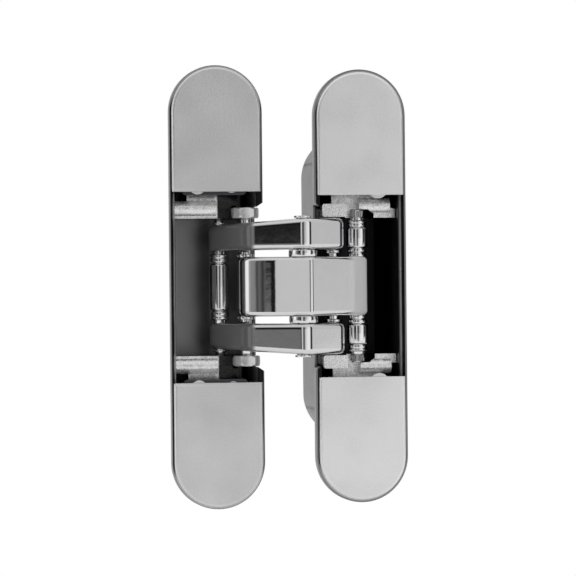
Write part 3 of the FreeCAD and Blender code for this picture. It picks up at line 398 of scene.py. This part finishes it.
def slab(pulleys, rows, height, turns, share=None):
    """Plate with the outline of a belt: each row is the outline moved inwards, at a height.

    A point is centre + (radius - inset) * normal, or on a corner rounder than
    its radius, centre + (radius - inset) * mitre. Rows run from the back up to
    the front, and the first and last are closed by flat caps. The share is a
    function of the normal's angle that scales the inset.
    """
    centre, radius, angle, mitre = belt(pulleys, turns)
    inset = np.array([row[0] for row in rows])[:, None]
    if share is not None:
        inset = inset * share(angle)
    reach = radius[None, :] - inset
    sharp = (reach < 0) & (radius > 0)[None, :]
    normal = np.stack([np.cos(angle), np.sin(angle)], axis=1)
    direction = np.where(sharp[..., None], mitre[None], normal[None])
    place = centre[None] + reach[..., None] * direction
    across, along = place[..., 0], place[..., 1]
    up = height(across, along, np.array([row[1:] for row in rows])[:, None, :])
    points = np.stack([across, along, up], axis=-1)
    count, around = points.shape[:2]
    faces = ring_faces(count, around)
    faces.append(list(range(around))[::-1])
    faces.append(list(range((count - 1) * around, count * around)))
    return points.reshape(-1, 3), faces


def finished(name, mesh, material, body, replaced):
    """Object of a mesh, smooth between its sharp edges, that rides on its body."""
    mesh.shade_smooth()
    mesh.set_sharp_from_angle(angle=SHARP_ANGLE)
    mesh.materials.append(material)
    made = bpy.data.objects.new(name, mesh)
    bpy.context.scene.collection.objects.link(made)
    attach(made, body)
    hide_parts(*replaced)
    return made


def new_piece(name, parts, material, body, replaced):
    """One object made of several surfaces, with doubles merged and faces outwards."""
    points = np.concatenate([part[0] for part in parts]) / MILLIMETRES
    starts = np.cumsum([0] + [len(part[0]) for part in parts])
    faces = [[start + index for index in face]
             for start, part in zip(starts, parts) for face in part[1]]
    mesh = bpy.data.meshes.new(name)
    mesh.from_pydata(points.tolist(), [], faces)
    work = bmesh.new()
    work.from_mesh(mesh)
    bmesh.ops.remove_doubles(work, verts=work.verts, dist=MERGE_DISTANCE)
    bmesh.ops.dissolve_degenerate(work, edges=work.edges, dist=MERGE_DISTANCE)
    bmesh.ops.recalc_face_normals(work, faces=work.faces)
    work.to_mesh(mesh)
    work.free()
    return finished(name, mesh, material, body, replaced)


def turned(centre, profile, ease=0.12, around=72, axis="z"):
    """Solid of revolution: a closed profile of (radius, height) corners carried round an axis.

    Each corner is cut back by the ease and bridged by three points of a
    quadratic curve: start, a quarter of (start + twice the corner + end), end.
    """
    at = np.array(profile, dtype=float)
    before = np.roll(at, 1, axis=0) - at
    after = np.roll(at, -1, axis=0) - at
    long_before = np.hypot(*before.T)
    long_after = np.hypot(*after.T)
    room = EASE_SHARE * np.minimum(long_before, long_after)
    back = np.minimum(ease, room) * (at[:, 0] > ON_AXIS)
    start = at + before * (back / long_before)[:, None]
    end = at + after * (back / long_after)[:, None]
    line = np.stack([start, (start + 2 * at + end) / 4, end], axis=1).reshape(-1, 2)
    turn = np.linspace(0.0, math.tau, around, endpoint=False)
    wide = line[:, :1] * np.cos(turn)[None, :]
    deep = line[:, :1] * np.sin(turn)[None, :]
    tall = np.broadcast_to(line[:, 1:], wide.shape)
    order = (wide, deep, tall) if axis == "z" else (wide, tall, deep)
    points = np.stack(order, axis=-1) + np.array(centre)[None, None, :]
    return points.reshape(-1, 3), ring_faces(len(line), around, closed=True)


def front_facing(points):
    """Turn a plate drawn flat so that its height points out of the leaf."""
    return np.stack([points[:, 0], -points[:, 2], points[:, 1]], axis=1)


# Painted light: one satin finish, painted darker on the frame leaf's covers than on the door
# leaf's.
COVER_PAINTED_LEVEL = {"frame": 0.80, "door": 0.97}
COVER_HALF = {"frame": 14.35, "door": 14.1}
WINDOW_HALF = {"frame": 30.5, "door": 29.25}
POSTS = {"frame": (42.5, 63.5), "door": (41.25, 62.25)}
CORNER = 0.35
PLAIN_SHARE = 0.9
cover_rows = [
    (0.35, 3.0), (0.30, 3.0), (0.08, 3.1), (0.0, 3.3), (0.0, 3.8), (0.06, 3.94), (0.20, 4.12),
    (0.42, 4.34), (0.56, 4.46), (0.72, 4.5), (0.85, 4.5)]
post_profile = [(0, -3.05), (1.5, -3.05), (1.5, -0.9), (1.2, -0.6), (0, -0.6)]


def cover_height(across, along, row):
    """Height that the row alone gives."""
    return row[..., 0] + 0 * across


def window_share(up):
    """Share of the inset by the normal's angle: 1 - 0.9 * max(-up * sin(angle), 0)^4."""
    return lambda angle: 1 - PLAIN_SHARE * np.clip(-up * np.sin(angle), 0.0, 1.0) ** 4


for leaf, middle in LEAVES.items():
    tone = COVER_PAINTED_LEVEL[leaf]
    # a lit and a shaded copy of one satin material, one for each leaf
    satin = metal_material(
        leaf + "_cover_satin_painted_level", (tone, tone, tone + 0.01),
        {"Grain": 2400.0, "Blotch": 60.0, "Roughness": 0.36, "Spread": 0.10, "Tone": 0.32,
         "Relief": 0.40, "Swell": 0.05})
    mid = middle * MILLIMETRES
    half = COVER_HALF[leaf]
    for level, up in LEVELS.items():
        inner = up * (WINDOW_HALF[leaf] + CORNER)
        pulleys = [(mid - half + CORNER, inner, CORNER), (mid + half - CORNER, inner, CORNER),
                   (mid, up * SHOULDERS[leaf] * MILLIMETRES, half)][::up]
        plate, faces = slab(pulleys, cover_rows, cover_height, 36, window_share(up))
        posts = [turned((mid, 0.0, up * height), post_profile, 0.05, 32, "y")
                 for height in POSTS[leaf]]
        new_piece("%s_cover_plate_%s" % (leaf, level), [(front_facing(plate), faces)] + posts,
                  satin, leaf + "_leaf", ["%s_cover_%s" % (leaf, level)])


# Carriages. Rough zinc castings at the top and bottom of each pocket, which
# hold the pivot pins and guide the tip pins. Only their noses are in the light;
# the rest is darkened with painted shade.
WELD_DISTANCE = 1e-6
FLAT_ANGLE = math.radians(1.0)
EDGE_ANGLE = math.radians(35.0)
EDGE_ROOM = 2.2
# Where the carriages' painted shade begins above, and to the side on the frame leaf; 1.0 is never.
CARRIAGE_TOP = {"frame": 0.0272, "door": 0.0276}
CARRIAGE_SIDE = {"frame": 0.0011, "door": 1.0}


def eased_copy(name, node, material, body, width, segments=2):
    """Copy of a CAD node with its facets rejoined and its long edges rounded.

    An edge is rounded if it is steeper than the edge angle and both its corners
    are plain: three edges meet there, each longer than 2.2 times the width.
    """
    mesh = nodes[node].data.copy()
    mesh.name = name
    mesh.materials.clear()
    work = bmesh.new()
    work.from_mesh(mesh)
    bmesh.ops.remove_doubles(work, verts=work.verts, dist=WELD_DISTANCE)
    bmesh.ops.dissolve_limit(work, angle_limit=FLAT_ANGLE, verts=work.verts, edges=work.edges)
    weight = work.edges.layers.float.new("bevel_weight_edge")
    room = EDGE_ROOM * width / MILLIMETRES
    plain = {vert for vert in work.verts if len(vert.link_edges) == 3
             and min(edge.calc_length() for edge in vert.link_edges) > room}
    for edge in work.edges:
        steep = len(edge.link_faces) == 2 and edge.calc_face_angle() > EDGE_ANGLE
        edge[weight] = float(steep and plain.issuperset(edge.verts))
    work.to_mesh(mesh)
    work.free()
    made = finished(name, mesh, material, body, [node])
    bevel = made.modifiers.new("eased_edges", "BEVEL")
    bevel.width = width / MILLIMETRES
    bevel.segments = segments
    bevel.limit_method = "WEIGHT"
    bevel.use_clamp_overlap = False
    bevel.harden_normals = True
    return made


for leaf in LEAVES:
    casting = metal_material(
        leaf + "_carriage_casting", (0.98, 0.98, 0.98),
        {"Grain": 2300.0, "Blotch": 700.0, "Roughness": 0.26, "Spread": 0.30, "Tone": 0.80,
         "Relief": 1.1, "Swell": 0.6},
        # painted shade: darker back from the nose, above the Top and past the Side
        {"Start": 0.0042, "End": 0.0056, "Floor": 0.02, "Top": CARRIAGE_TOP[leaf],
         "Rise": 0.0042, "Side": CARRIAGE_SIDE[leaf]},
        metallic=0.65)
    for level in LEVELS:
        eased_copy("%s_carriage_casting_%s" % (leaf, level), "%s_carriage_%s" % (leaf, level),
                   casting, leaf + "_leaf", 0.25)


# Guide bushes. Grey acetal, pressed on the ends of the tip pins; they slide in
# the carriages' slots. The door leaf's are fluted cones.
FLUTE_DEPTH = 0.05
FRAME_TIP = (2.5, 8.9)
DOOR_TIP = (46.7, 2.5)


def fluted(centre, foot, top, wide, narrow, flutes=14, around=168, rows=12):
    """Fluted cone: radius = (wide to narrow) * (1 - 0.05 * (1 + cos(flutes * angle)))."""
    turn = np.linspace(0.0, math.tau, around, endpoint=False)
    part = np.linspace(0.0, 1.0, rows)
    radius = np.concatenate([[0.0], wide + (narrow - wide) * part, [0.0]])
    tall = np.concatenate([[foot], foot + (top - foot) * part, [top]])
    swing = 1 - FLUTE_DEPTH * (1 + np.cos(flutes * turn))
    points = np.stack([
        centre[0] + radius[:, None] * (swing * np.cos(turn))[None, :],
        centre[1] + radius[:, None] * (swing * np.sin(turn))[None, :],
        np.broadcast_to(tall[:, None], (rows + 2, around))], axis=-1)
    return points.reshape(-1, 3), ring_faces(rows + 2, around)


bush_grey = metal_material(
    "bush_grey", (0.42, 0.42, 0.43),
    {"Grain": 2000.0, "Blotch": 300.0, "Roughness": 0.28, "Spread": 0.1, "Tone": 0.2,
     "Relief": 0.1, "Swell": 0.0})
new_piece("frame_slide_bushes", [turned((*FRAME_TIP, 0), [
    (1.54, up * 22.2), (2.3, up * 22.2), (2.3, up * 24.3), (1.54, up * 24.3)], 0.08)
    for up in (1, -1)], bush_grey, "outer_link", ["frame_guide_bushes"])
new_piece("door_slide_bushes", [
    fluted(DOOR_TIP, up * 22.2, up * 24.3, 2.0, 2.3) for up in (1, -1)],
    bush_grey, "central_link", ["door_guide_bushes"])


# Adjusting gear under the covers: black phosphated clamp plates that hold the
# carriages, whose black also stands in as painted shadow for the gaps round the
# screw heads, and zinc plated screws with flat heads and hexagon sockets.
# near black: the plates' own black, and painted shadow of the gaps round the screw heads
plate_black_shadow = metal_material(
    "plate_black_shadow", (0.09, 0.09, 0.10),
    {"Grain": 2200.0, "Blotch": 200.0, "Roughness": 0.30, "Spread": 0.12, "Tone": 0.30,
     "Relief": 0.2, "Swell": 0.0})
screw_zinc = metal_material(
    "screw_zinc", (0.85, 0.85, 0.86),
    {"Grain": 2200.0, "Blotch": 300.0, "Roughness": 0.20, "Spread": 0.12, "Tone": 0.15,
     "Relief": 0.15, "Swell": 0.1})
for leaf in LEAVES:
    for level in LEVELS:
        eased_copy("%s_clamp_strip_%s" % (leaf, level), "%s_clamp_plate_%s" % (leaf, level),
                   plate_black_shadow, leaf + "_leaf", 0.12)
    for kind in ("adjusting_screws", "lock_screws"):
        eased_copy("%s_%s_eased" % (leaf, kind), "%s_%s" % (leaf, kind), screw_zinc,
                   leaf + "_leaf", 0.15, 3)


# Pins. Ground and polished steel rods with rounded ends; the centre pin has a
# flat head riveted over each outer arm.
KNUCKLE = (26.6, -10.5)
FRAME_PIVOT = (10.2, 3.005)
DOOR_PIVOT = (39.2, 5.275)
polished = metal_material(
    "polished_steel", (0.86, 0.86, 0.87),
    {"Grain": 2600.0, "Blotch": 260.0, "Roughness": 0.10, "Spread": 0.06, "Tone": 0.08,
     "Relief": 0.04, "Swell": 0.15})
new_piece("centre_pin_riveted", [turned((*KNUCKLE, 0), [
    (0, -22.55), (2.8, -22.55), (2.8, -21.85), (2.0, -21.85),
    (2.0, 21.85), (2.8, 21.85), (2.8, 22.55), (0, 22.55)], 0.3)],
    polished, "central_link", ["centre_pin"])
for name, place, radius, top, ease, body, node in (
        ("frame_pivot_rod", FRAME_PIVOT, 1.8, 25.7, 0.5, "frame_leaf", "frame_pivot_pin"),
        ("door_pivot_rod", DOOR_PIVOT, 1.8, 25.7, 0.5, "door_leaf", "door_pivot_pin"),
        ("frame_tip_rod", FRAME_TIP, 1.5, 24.6, 0.4, "outer_link", "frame_tip_pin"),
        ("door_tip_rod", DOOR_TIP, 1.5, 24.6, 0.4, "central_link", "door_tip_pin")):
    new_piece(name, [turned((*place, 0), [(0, -top), (radius, -top), (radius, top), (0, top)],
                            ease)], polished, body, [node])


# Washers, barrels and collars. Turned steel, polished, slipped on the pins
# between the arms; grooves part the collars from the barrels.
def washer(inner, outer, foot, top):
    """Profile of a flat ring."""
    return [(inner, foot), (outer, foot), (outer, top), (inner, top)]


def pair(place, profiles, ease):
    """Each profile turned above the middle of the hinge and mirrored below it."""
    return [turned((*place, 0), [(radius, up * height) for radius, height in profile], ease)
            for profile in profiles for up in (1, -1)]


frame_barrel = [
    (1.54, -7.6), (2.75, -7.6), (3.2, -7.1), (3.2, 7.1), (2.75, 7.6), (1.54, 7.6)]
door_barrel = [
    (1.54, 12.3), (2.95, 12.3), (3.4, 12.75), (3.4, 18.45), (2.95, 18.9), (1.54, 18.9)]
frame_collars = [
    [(1.54, 7.6), (2.2, 7.6), (2.2, 7.9), (2.7, 7.9), (3.0, 8.2), (3.0, 9.1), (2.8, 9.25),
     (2.8, 9.45), (3.0, 9.6), (3.0, 10.35), (2.7, 10.65), (2.2, 10.65), (2.2, 11.65),
     (1.54, 11.65)],
    [(1.54, 20.32), (2.2, 20.32), (2.2, 20.77), (1.54, 20.77)]]
door_collars = [
    [(1.54, 9.5), (2.8, 9.5), (2.8, 10.4), (2.2, 10.4), (2.2, 10.8), (3.0, 11.1), (3.0, 12.0),
     (2.2, 12.0), (2.2, 12.3), (1.54, 12.3)],
    [(1.54, 18.9), (2.2, 18.9), (2.2, 19.2), (3.0, 19.2), (3.0, 20.0), (2.75, 20.1),
     (2.75, 20.3), (3.0, 20.4), (3.0, 20.9), (2.2, 21.2), (2.2, 21.95), (1.54, 21.95)]]
for name, rings, body, node in (
        ("centre_washers_polished", pair(KNUCKLE, [washer(2.04, 4.6, 9.5, 11.6)], 0.3),
         "central_link", "centre_washers"),
        ("frame_pivot_rings", pair(FRAME_PIVOT, [washer(1.84, 2.8, 9.6, 10.5)], 0.2),
         "central_link", "frame_pivot_washers"),
        ("door_pivot_rings", pair(DOOR_PIVOT, [washer(1.84, 2.8, 10.7, 11.6)], 0.2),
         "outer_link", "door_pivot_washers"),
        ("frame_barrel_polished", [turned((*FRAME_TIP, 0), frame_barrel, 0.15)],
         "outer_link", "frame_tip_barrel"),
        ("frame_collars_polished", pair(FRAME_TIP, frame_collars, 0.1),
         "outer_link", "frame_tip_collars"),
        ("door_barrels_polished", pair(DOOR_TIP, [door_barrel], 0.15),
         "central_link", "door_tip_barrels"),
        ("door_collars_polished", pair(DOOR_TIP, door_collars, 0.1),
         "central_link", "door_tip_collars")):
    new_piece(name, rings, polished, body, [node])


# Hexagonal bushes. Steel nuts with turned corners that hold the frame leaf's
# pivot pin in the carriages.
FLAT_SHARE = 0.915
WORN_POWER = 0.6
CONE_CUT = 0.1


def hexagon(centre, foot, top, radius, ease=0.7, around=144, rows=14):
    """Worn nut, whose radius is the lesser of the sides' and of a cone's at both ends.

    With flat = 0.915 * radius, the sides' is flat / cos(angle from the side's
    middle)^0.6, and the cone's rises from flat - 0.1 to the radius as (distance
    from the end / ease)^0.6.
    """
    turn = np.linspace(0.0, math.tau, around, endpoint=False)
    flat = radius * FLAT_SHARE
    side = flat / np.cos(np.mod(turn, math.pi / 3) - math.pi / 6) ** WORN_POWER
    part = 0.5 - 0.5 * np.cos(np.linspace(0.0, math.pi, rows))
    tall = foot + (top - foot) * part
    deep = np.minimum(np.abs(tall - foot), np.abs(top - tall))
    rise = np.clip(deep / ease, 0.0, 1.0) ** WORN_POWER
    cone = flat - CONE_CUT + (radius - flat + CONE_CUT) * rise
    wide = np.minimum(side[None, :], cone[:, None])
    wide = np.concatenate([0 * wide[:1], wide, 0 * wide[:1]])
    tall = np.concatenate([[foot], tall, [top]])
    points = np.stack([
        centre[0] + wide * np.cos(turn)[None, :], centre[1] + wide * np.sin(turn)[None, :],
        np.broadcast_to(tall[:, None], wide.shape)], axis=-1)
    return points.reshape(-1, 3), ring_faces(rows + 2, around)


nut_steel = metal_material(
    "nut_steel", (0.84, 0.84, 0.85),
    {"Grain": 1600.0, "Blotch": 500.0, "Roughness": 0.22, "Spread": 0.14, "Tone": 0.30,
     "Relief": 0.35, "Swell": 0.5},
    metallic=0.55)
new_piece("frame_hex_nuts", [hexagon(FRAME_PIVOT, up * 22.1, up * 25.5, 4.5) for up in (1, -1)],
          nut_steel, "frame_leaf", ["frame_hex_bushes"])


# Arms. Zinc castings with heavily rounded edges, polished and plated bright.
# The central arm runs from the frame pivot to the door tip, the outer pair
# from the door pivot to the frame tip, and all cross at the centre pin.
RIDGE = (28.6, -15.1)
TIP_REACH = 1.15
CAP_RING = 0.25
SIDE_RING = 0.3
END_METALLIC = 0.1


def corner(before, at, after, radius):
    """Pulley in the corner of a belt: corner - radius * (sum of normals) / (1 + their product)."""
    first = np.subtract(at, before) / np.hypot(*np.subtract(at, before))
    last = np.subtract(after, at) / np.hypot(*np.subtract(after, at))
    out_first = np.array([first[1], -first[0]])
    out_last = np.array([last[1], -last[0]])
    signed = math.copysign(radius, first[0] * last[1] - first[1] * last[0])
    middle = np.array(at) - signed * (out_first + out_last) / (1 + out_first @ out_last)
    return (middle[0], middle[1], signed)


def rounded_rows(edge, steps=9):
    """Rows of a slab with quarter-round edges: inset, 0 or 1 for foot or top, and rise from it.

    At angle a of the quarter the inset is edge * (1 - sin a) and the rise edge *
    (1 - cos a). Rings beside the quarters keep the smooth shading off the flats.
    """
    turn = np.linspace(0.0, math.pi / 2, steps)
    below = [(edge * (1 - math.sin(a)), 0.0, edge * (1 - math.cos(a))) for a in turn]
    above = [(edge * (1 - math.sin(a)), 1.0, -edge * (1 - math.cos(a))) for a in turn[::-1]]
    return ([(edge + CAP_RING, 0.0, 0.0)] + below
            + [(0.0, 0.0, edge + SIDE_RING), (0.0, 1.0, -edge - SIDE_RING)]
            + above + [(edge + CAP_RING, 1.0, 0.0)])


def level_height(low, high):
    """Flat faces at two heights."""
    return lambda x, y, row: np.where(row[..., 0] < 0.5, low, high) + row[..., 1] + 0 * x


def falling_height(low, high, fall):
    """As level_height, with one face falling by so much from the knuckle to the tip."""
    def height(x, y, row):
        drop = abs(fall) * np.clip((KNUCKLE[0] - x) / (KNUCKLE[0] + TIP_REACH), 0.0, 1.0)
        foot = low + (drop if fall < 0 else 0.0)
        top = high - (drop if fall > 0 else 0.0)
        return np.where(row[..., 0] < 0.5, foot, top) + row[..., 1]
    return height


def dull_group():
    """Metallic share and tone of an arm: past a place along X it turns matte and takes a set tone.

    Between Start and End the metallic share fades from 1 to 0.1, and the tone
    from 1 to the Dull.
    """
    tree, entry, leave = new_group(
        "dull_end", {"Start": 0.043, "End": 0.047, "Dull": 1.0}, ("Metallic", "Tone"))
    given = entry.outputs
    along = split_place(tree, given["Place"])[0]
    metallic = fade_between(tree, along, given["Start"], given["End"], 1.0, END_METALLIC)
    tone = fade_between(tree, along, given["Start"], given["End"], 1.0, given["Dull"])
    tree.links.new(metallic, leave.inputs["Metallic"])
    tree.links.new(tone, leave.inputs["Tone"])
    return tree


dull_end = dull_group()


def arm_material(name, start, end, dull):
    """Bright plated metal that turns matte and takes the Dull tone between two places along X, in
    metres.
    """
    material = metal_material(
        name, (0.80, 0.80, 0.81),
        {"Grain": 1500.0, "Blotch": 260.0, "Roughness": 0.06, "Spread": 0.04, "Tone": 0.06,
         "Relief": 0.03, "Swell": 0.12})
    tree = material.node_tree
    shader = tree.nodes["Principled BSDF"]
    place = tree.nodes.new("ShaderNodeTexCoord")
    end_tone = place_group(tree, dull_end, place, {"Start": start, "End": end, "Dull": dull})
    tree.links.new(end_tone.outputs["Metallic"], shader.inputs["Metallic"])
    base = shader.inputs["Base Color"]
    multiply_colour(tree, base.links[0].from_socket, end_tone.outputs["Tone"], base)
    return material


central_chrome = arm_material("central_arm_chrome", 0.0415, 0.0450, 0.95)
# Painted shade: the outer arms' ends towards the frame tip are painted down to a tone of 0.22 and
# made matte.
outer_chrome_shaded = arm_material("outer_arm_chrome_painted_shade", 0.0118, 0.0104, 0.22)
central = [
    corner((13.8, -10.5), RIDGE, (48.62, -0.06), 1.6),
    (*DOOR_TIP, 3.2),
    (42.76, 1.80, -0.8),
    corner((46.1, 3.3), (34.49, -5.42), (22.87, -5.96), 4.0),
    corner((34.49, -5.42), (22.87, -5.96), (12.29, 5.02), 2.0),
    (*FRAME_PIVOT, 2.9),
    (14.07, -2.16, 6.85),
    (25.2, 11.73, 24.6),
]
outer = [
    corner((10.2, -6.97), (27.2, -14.48), (41.4, -3.88), 4.0),
    corner((27.2, -14.48), (41.4, -3.88), (42.4, 5.28), 6.0),
    (*DOOR_PIVOT, 3.2),
    corner((36.59, 7.13), (23.51, -8.29), (17.42, -2.92), 0.8),
    corner((23.51, -8.29), (17.42, -2.92), (7.73, 1.36), 2.0),
    corner((17.42, -2.92), (7.73, 1.36), (5.08, 10.8), 2.0),
    (*FRAME_TIP, 3.2),
    corner((-0.08, 7.0), (10.2, -6.97), RIDGE, 6.0),
]
new_piece("central_arm_polished",
          [slab(central, rounded_rows(1.5), level_height(-9.5, 9.5), 20)],
          central_chrome, "central_link", ["central_arm"])
new_piece("outer_arm_upper_polished",
          [slab(outer, rounded_rows(1.7), falling_height(11.7, 21.8, 2.0), 20)],
          outer_chrome_shaded, "outer_link", ["outer_arm_upper"])
new_piece("outer_arm_lower_polished",
          [slab(outer, rounded_rows(1.7), falling_height(-21.8, -11.7, -2.0), 20)],
          outer_chrome_shaded, "outer_link", ["outer_arm_lower"])


# Studio. A plain pale sweep of paper under and behind the hinge, and two soft
# lamps, one in front on the right and one overhead, that the plating doesn't
# mirror.
PAPER = (0.86, 0.86, 0.86)
MIRRORED_SHARE = 0.35
SWEEP_STEPS = 25


def paper_material(name, colour):
    """Diffuse paper that the camera sees as plain white and mirrors see partly so."""
    material = bpy.data.materials.new(name)
    material.use_nodes = True
    tree = material.node_tree
    tree.nodes.clear()
    leave = tree.nodes.new("ShaderNodeOutputMaterial")
    diffuse = tree.nodes.new("ShaderNodeBsdfDiffuse")
    diffuse.inputs["Color"].default_value = (*colour, 1.0)
    glow = tree.nodes.new("ShaderNodeEmission")
    glow.inputs["Strength"].default_value = 1.0
    rays = tree.nodes.new("ShaderNodeLightPath").outputs
    mirrored = maths(tree, "MAXIMUM", rays["Is Glossy Ray"], rays["Is Transmission Ray"])
    mirrored = maths(tree, "MULTIPLY", mirrored, MIRRORED_SHARE)
    mix = tree.nodes.new("ShaderNodeMixShader")
    tree.links.new(maths(tree, "MAXIMUM", mirrored, rays["Is Camera Ray"]), mix.inputs["Fac"])
    tree.links.new(diffuse.outputs[0], mix.inputs[1])
    tree.links.new(glow.outputs[0], mix.inputs[2])
    tree.links.new(mix.outputs[0], leave.inputs["Surface"])
    return material


def sweep_surface(name, floor_z, width, front, back, radius, height):
    """Floor that runs back and turns up into a wall through a quarter circle."""
    turn = np.linspace(0.0, math.pi / 2, SWEEP_STEPS)
    path_y = np.concatenate([[front], back - radius + radius * np.sin(turn), [back]])
    path_z = np.concatenate([[0.0], radius - radius * np.cos(turn), [height]]) + floor_z
    across = np.array([-width / 2, width / 2])
    place = np.stack([
        np.broadcast_to(across[None, :], (len(path_y), 2)),
        np.broadcast_to(path_y[:, None], (len(path_y), 2)),
        np.broadcast_to(path_z[:, None], (len(path_y), 2))], axis=-1).reshape(-1, 3)
    row = np.arange(len(path_y) - 1) * 2
    faces = np.stack([row, row + 1, row + 3, row + 2], axis=1)
    mesh = bpy.data.meshes.new(name)
    mesh.from_pydata(place.tolist(), [], faces.tolist())
    mesh.shade_smooth()
    made = bpy.data.objects.new(name, mesh)
    bpy.context.scene.collection.objects.link(made)
    return made


def soft_lamp(name, place, aim, width, height, power):
    """Rectangular lamp at a place, turned towards the aim and left out of reflections."""
    lamp = bpy.data.lights.new(name, "AREA")
    lamp.shape = "RECTANGLE"
    lamp.size = width
    lamp.size_y = height
    lamp.energy = power
    made = bpy.data.objects.new(name, lamp)
    made.visible_glossy = False
    bpy.context.scene.collection.objects.link(made)
    made.location = place
    toward = Vector(aim) - Vector(place)
    made.rotation_euler = toward.to_track_quat("-Z", "Y").to_euler()
    return made


sweep = sweep_surface("studio_sweep", floor_z=cad_low.z, width=6.0, front=-0.30, back=1.6,
                      radius=0.5, height=2.4)
sweep.data.materials.append(paper_material("pale_paper", PAPER))
centre = (0.0234, 0.0, 0.0)
soft_lamp("front_right", (0.75, -0.95, 0.45), centre, 0.5, 0.8, 1.6)
soft_lamp("overhead", (0.0, -0.10, 1.2), centre, 1.2, 0.9, 2.8)


# Air of the studio. A ring of white and black screens by compass angle, with
# one level below the horizon and one above, gives the plating its bands; high
# up they give way to one even level.
HORIZON_FADE = 0.014
LIFT_START, LIFT_END = 0.25, 0.75
LIFT_LEVEL = 0.72
# Degrees to the right of straight in front, level above the horizon, level below it.
SCREENS = [
    (-180, 0.40, 0.40), (-120, 0.35, 0.35), (-98, 0.50, 0.50), (-94, 1.00, 1.00),
    (-77, 1.00, 1.00), (-71, 0.42, 0.42), (-59, 0.24, 0.24), (-57, 0.05, 0.05),
    (-52, 0.14, 0.14), (-47, 0.03, 0.04), (-43, 0.10, 0.14), (-41.5, 0.012, 0.19),
    (-34.5, 0.012, 0.19), (-33.5, 0.01, 0.01), (-28, 0.01, 0.01), (-26.6, 0.64, 0.64),
    (-17, 0.62, 0.62), (-13, 0.08, 0.14), (0, 0.08, 0.14), (6, 0.38, 0.60),
    (14, 0.52, 0.76), (24, 0.72, 0.92), (46, 0.95, 0.95), (54, 0.85, 0.85),
    (57, 0.04, 0.04), (76, 0.04, 0.04), (79, 0.58, 0.62), (95, 0.58, 0.62),
    (100, 0.12, 0.12), (130, 0.20, 0.20), (180, 0.40, 0.40)]
world = bpy.data.worlds.new("studio_air")
bpy.context.scene.world = world
world.use_nodes = True
air = world.node_tree
ground = air.nodes["Background"]
direction = air.nodes.new("ShaderNodeTexCoord")
air_x, air_y, air_z = split_place(air, direction.outputs["Generated"])
compass = maths(air, "ARCTAN2", air_x, maths(air, "MULTIPLY", air_y, -1.0))
compass = maths(air, "MULTIPLY_ADD", compass, 1.0 / math.tau, 0.5)


def screen_ring(column):
    """Brightness of the screens round the compass, from one column of the list."""
    node = air.nodes.new("ShaderNodeValToRGB")
    air.links.new(compass, node.inputs["Fac"])
    for index, screen in enumerate(SCREENS):
        position = (screen[0] + 180.0) / 360.0
        stops = node.color_ramp.elements
        stop = stops[index] if index < 2 else stops.new(position)
        stop.position = position
        stop.color = (screen[column], screen[column], screen[column], 1.0)
    return node.outputs["Color"]


above = screen_ring(1)
below = screen_ring(2)
horizon = fade_between(air, air_z, -HORIZON_FADE, HORIZON_FADE, 0.0, 1.0)
screens = maths(air, "MULTIPLY_ADD", horizon, maths(air, "SUBTRACT", above, below), below)
lift = fade_between(air, air_z, LIFT_START, LIFT_END, 0.0, 1.0)
strength = maths(air, "SUBTRACT", LIFT_LEVEL, screens)
strength = maths(air, "MULTIPLY_ADD", lift, strength, screens)
rays = air.nodes.new("ShaderNodeLightPath")
strength = maths(air, "MAXIMUM", strength, rays.outputs["Is Camera Ray"])
air.links.new(strength, ground.inputs["Strength"])
ground.inputs["Color"].default_value = (1.0, 1.0, 1.0, 1.0)


# Camera. Level, a little to the left of the hinge, as in the photograph. At
# 1 m a focal length of 3120 pixels gives 3.12 pixels a millimetre.
DISTANCE = 1.0
FOCAL_PIXELS = 3120.0
PICTURE_PIXELS = 576.0
SHIFT_PIXELS = (-2.1, -1.5)
SENSOR = 36.0
YAW = math.radians(9.9)
ROLL = math.radians(0.56)
aim_point = np.array([0.0234, -0.0045, 0.0])
forward = np.array([math.sin(YAW), math.cos(YAW), 0.0])
upright = np.array([0.0, 0.0, 1.0])
sideways = np.cross(forward, upright)
up = upright * math.cos(ROLL) + sideways * math.sin(ROLL)
right = sideways * math.cos(ROLL) - upright * math.sin(ROLL)
eye = aim_point - forward * DISTANCE
camera_data = bpy.data.cameras.new("camera")
camera_data.sensor_width = SENSOR
camera_data.lens = FOCAL_PIXELS / PICTURE_PIXELS * SENSOR
camera_data.shift_x = SHIFT_PIXELS[0] / PICTURE_PIXELS
camera_data.shift_y = SHIFT_PIXELS[1] / PICTURE_PIXELS
camera_data.clip_start = 0.05
camera = bpy.data.objects.new("camera", camera_data)
bpy.context.scene.collection.objects.link(camera)
rows = [[right[i], up[i], -forward[i], eye[i]] for i in range(3)]
camera.matrix_world = Matrix(rows + [[0.0, 0.0, 0.0, 1.0]])
bpy.context.scene.camera = camera
bpy.context.scene.view_settings.view_transform = "Standard"
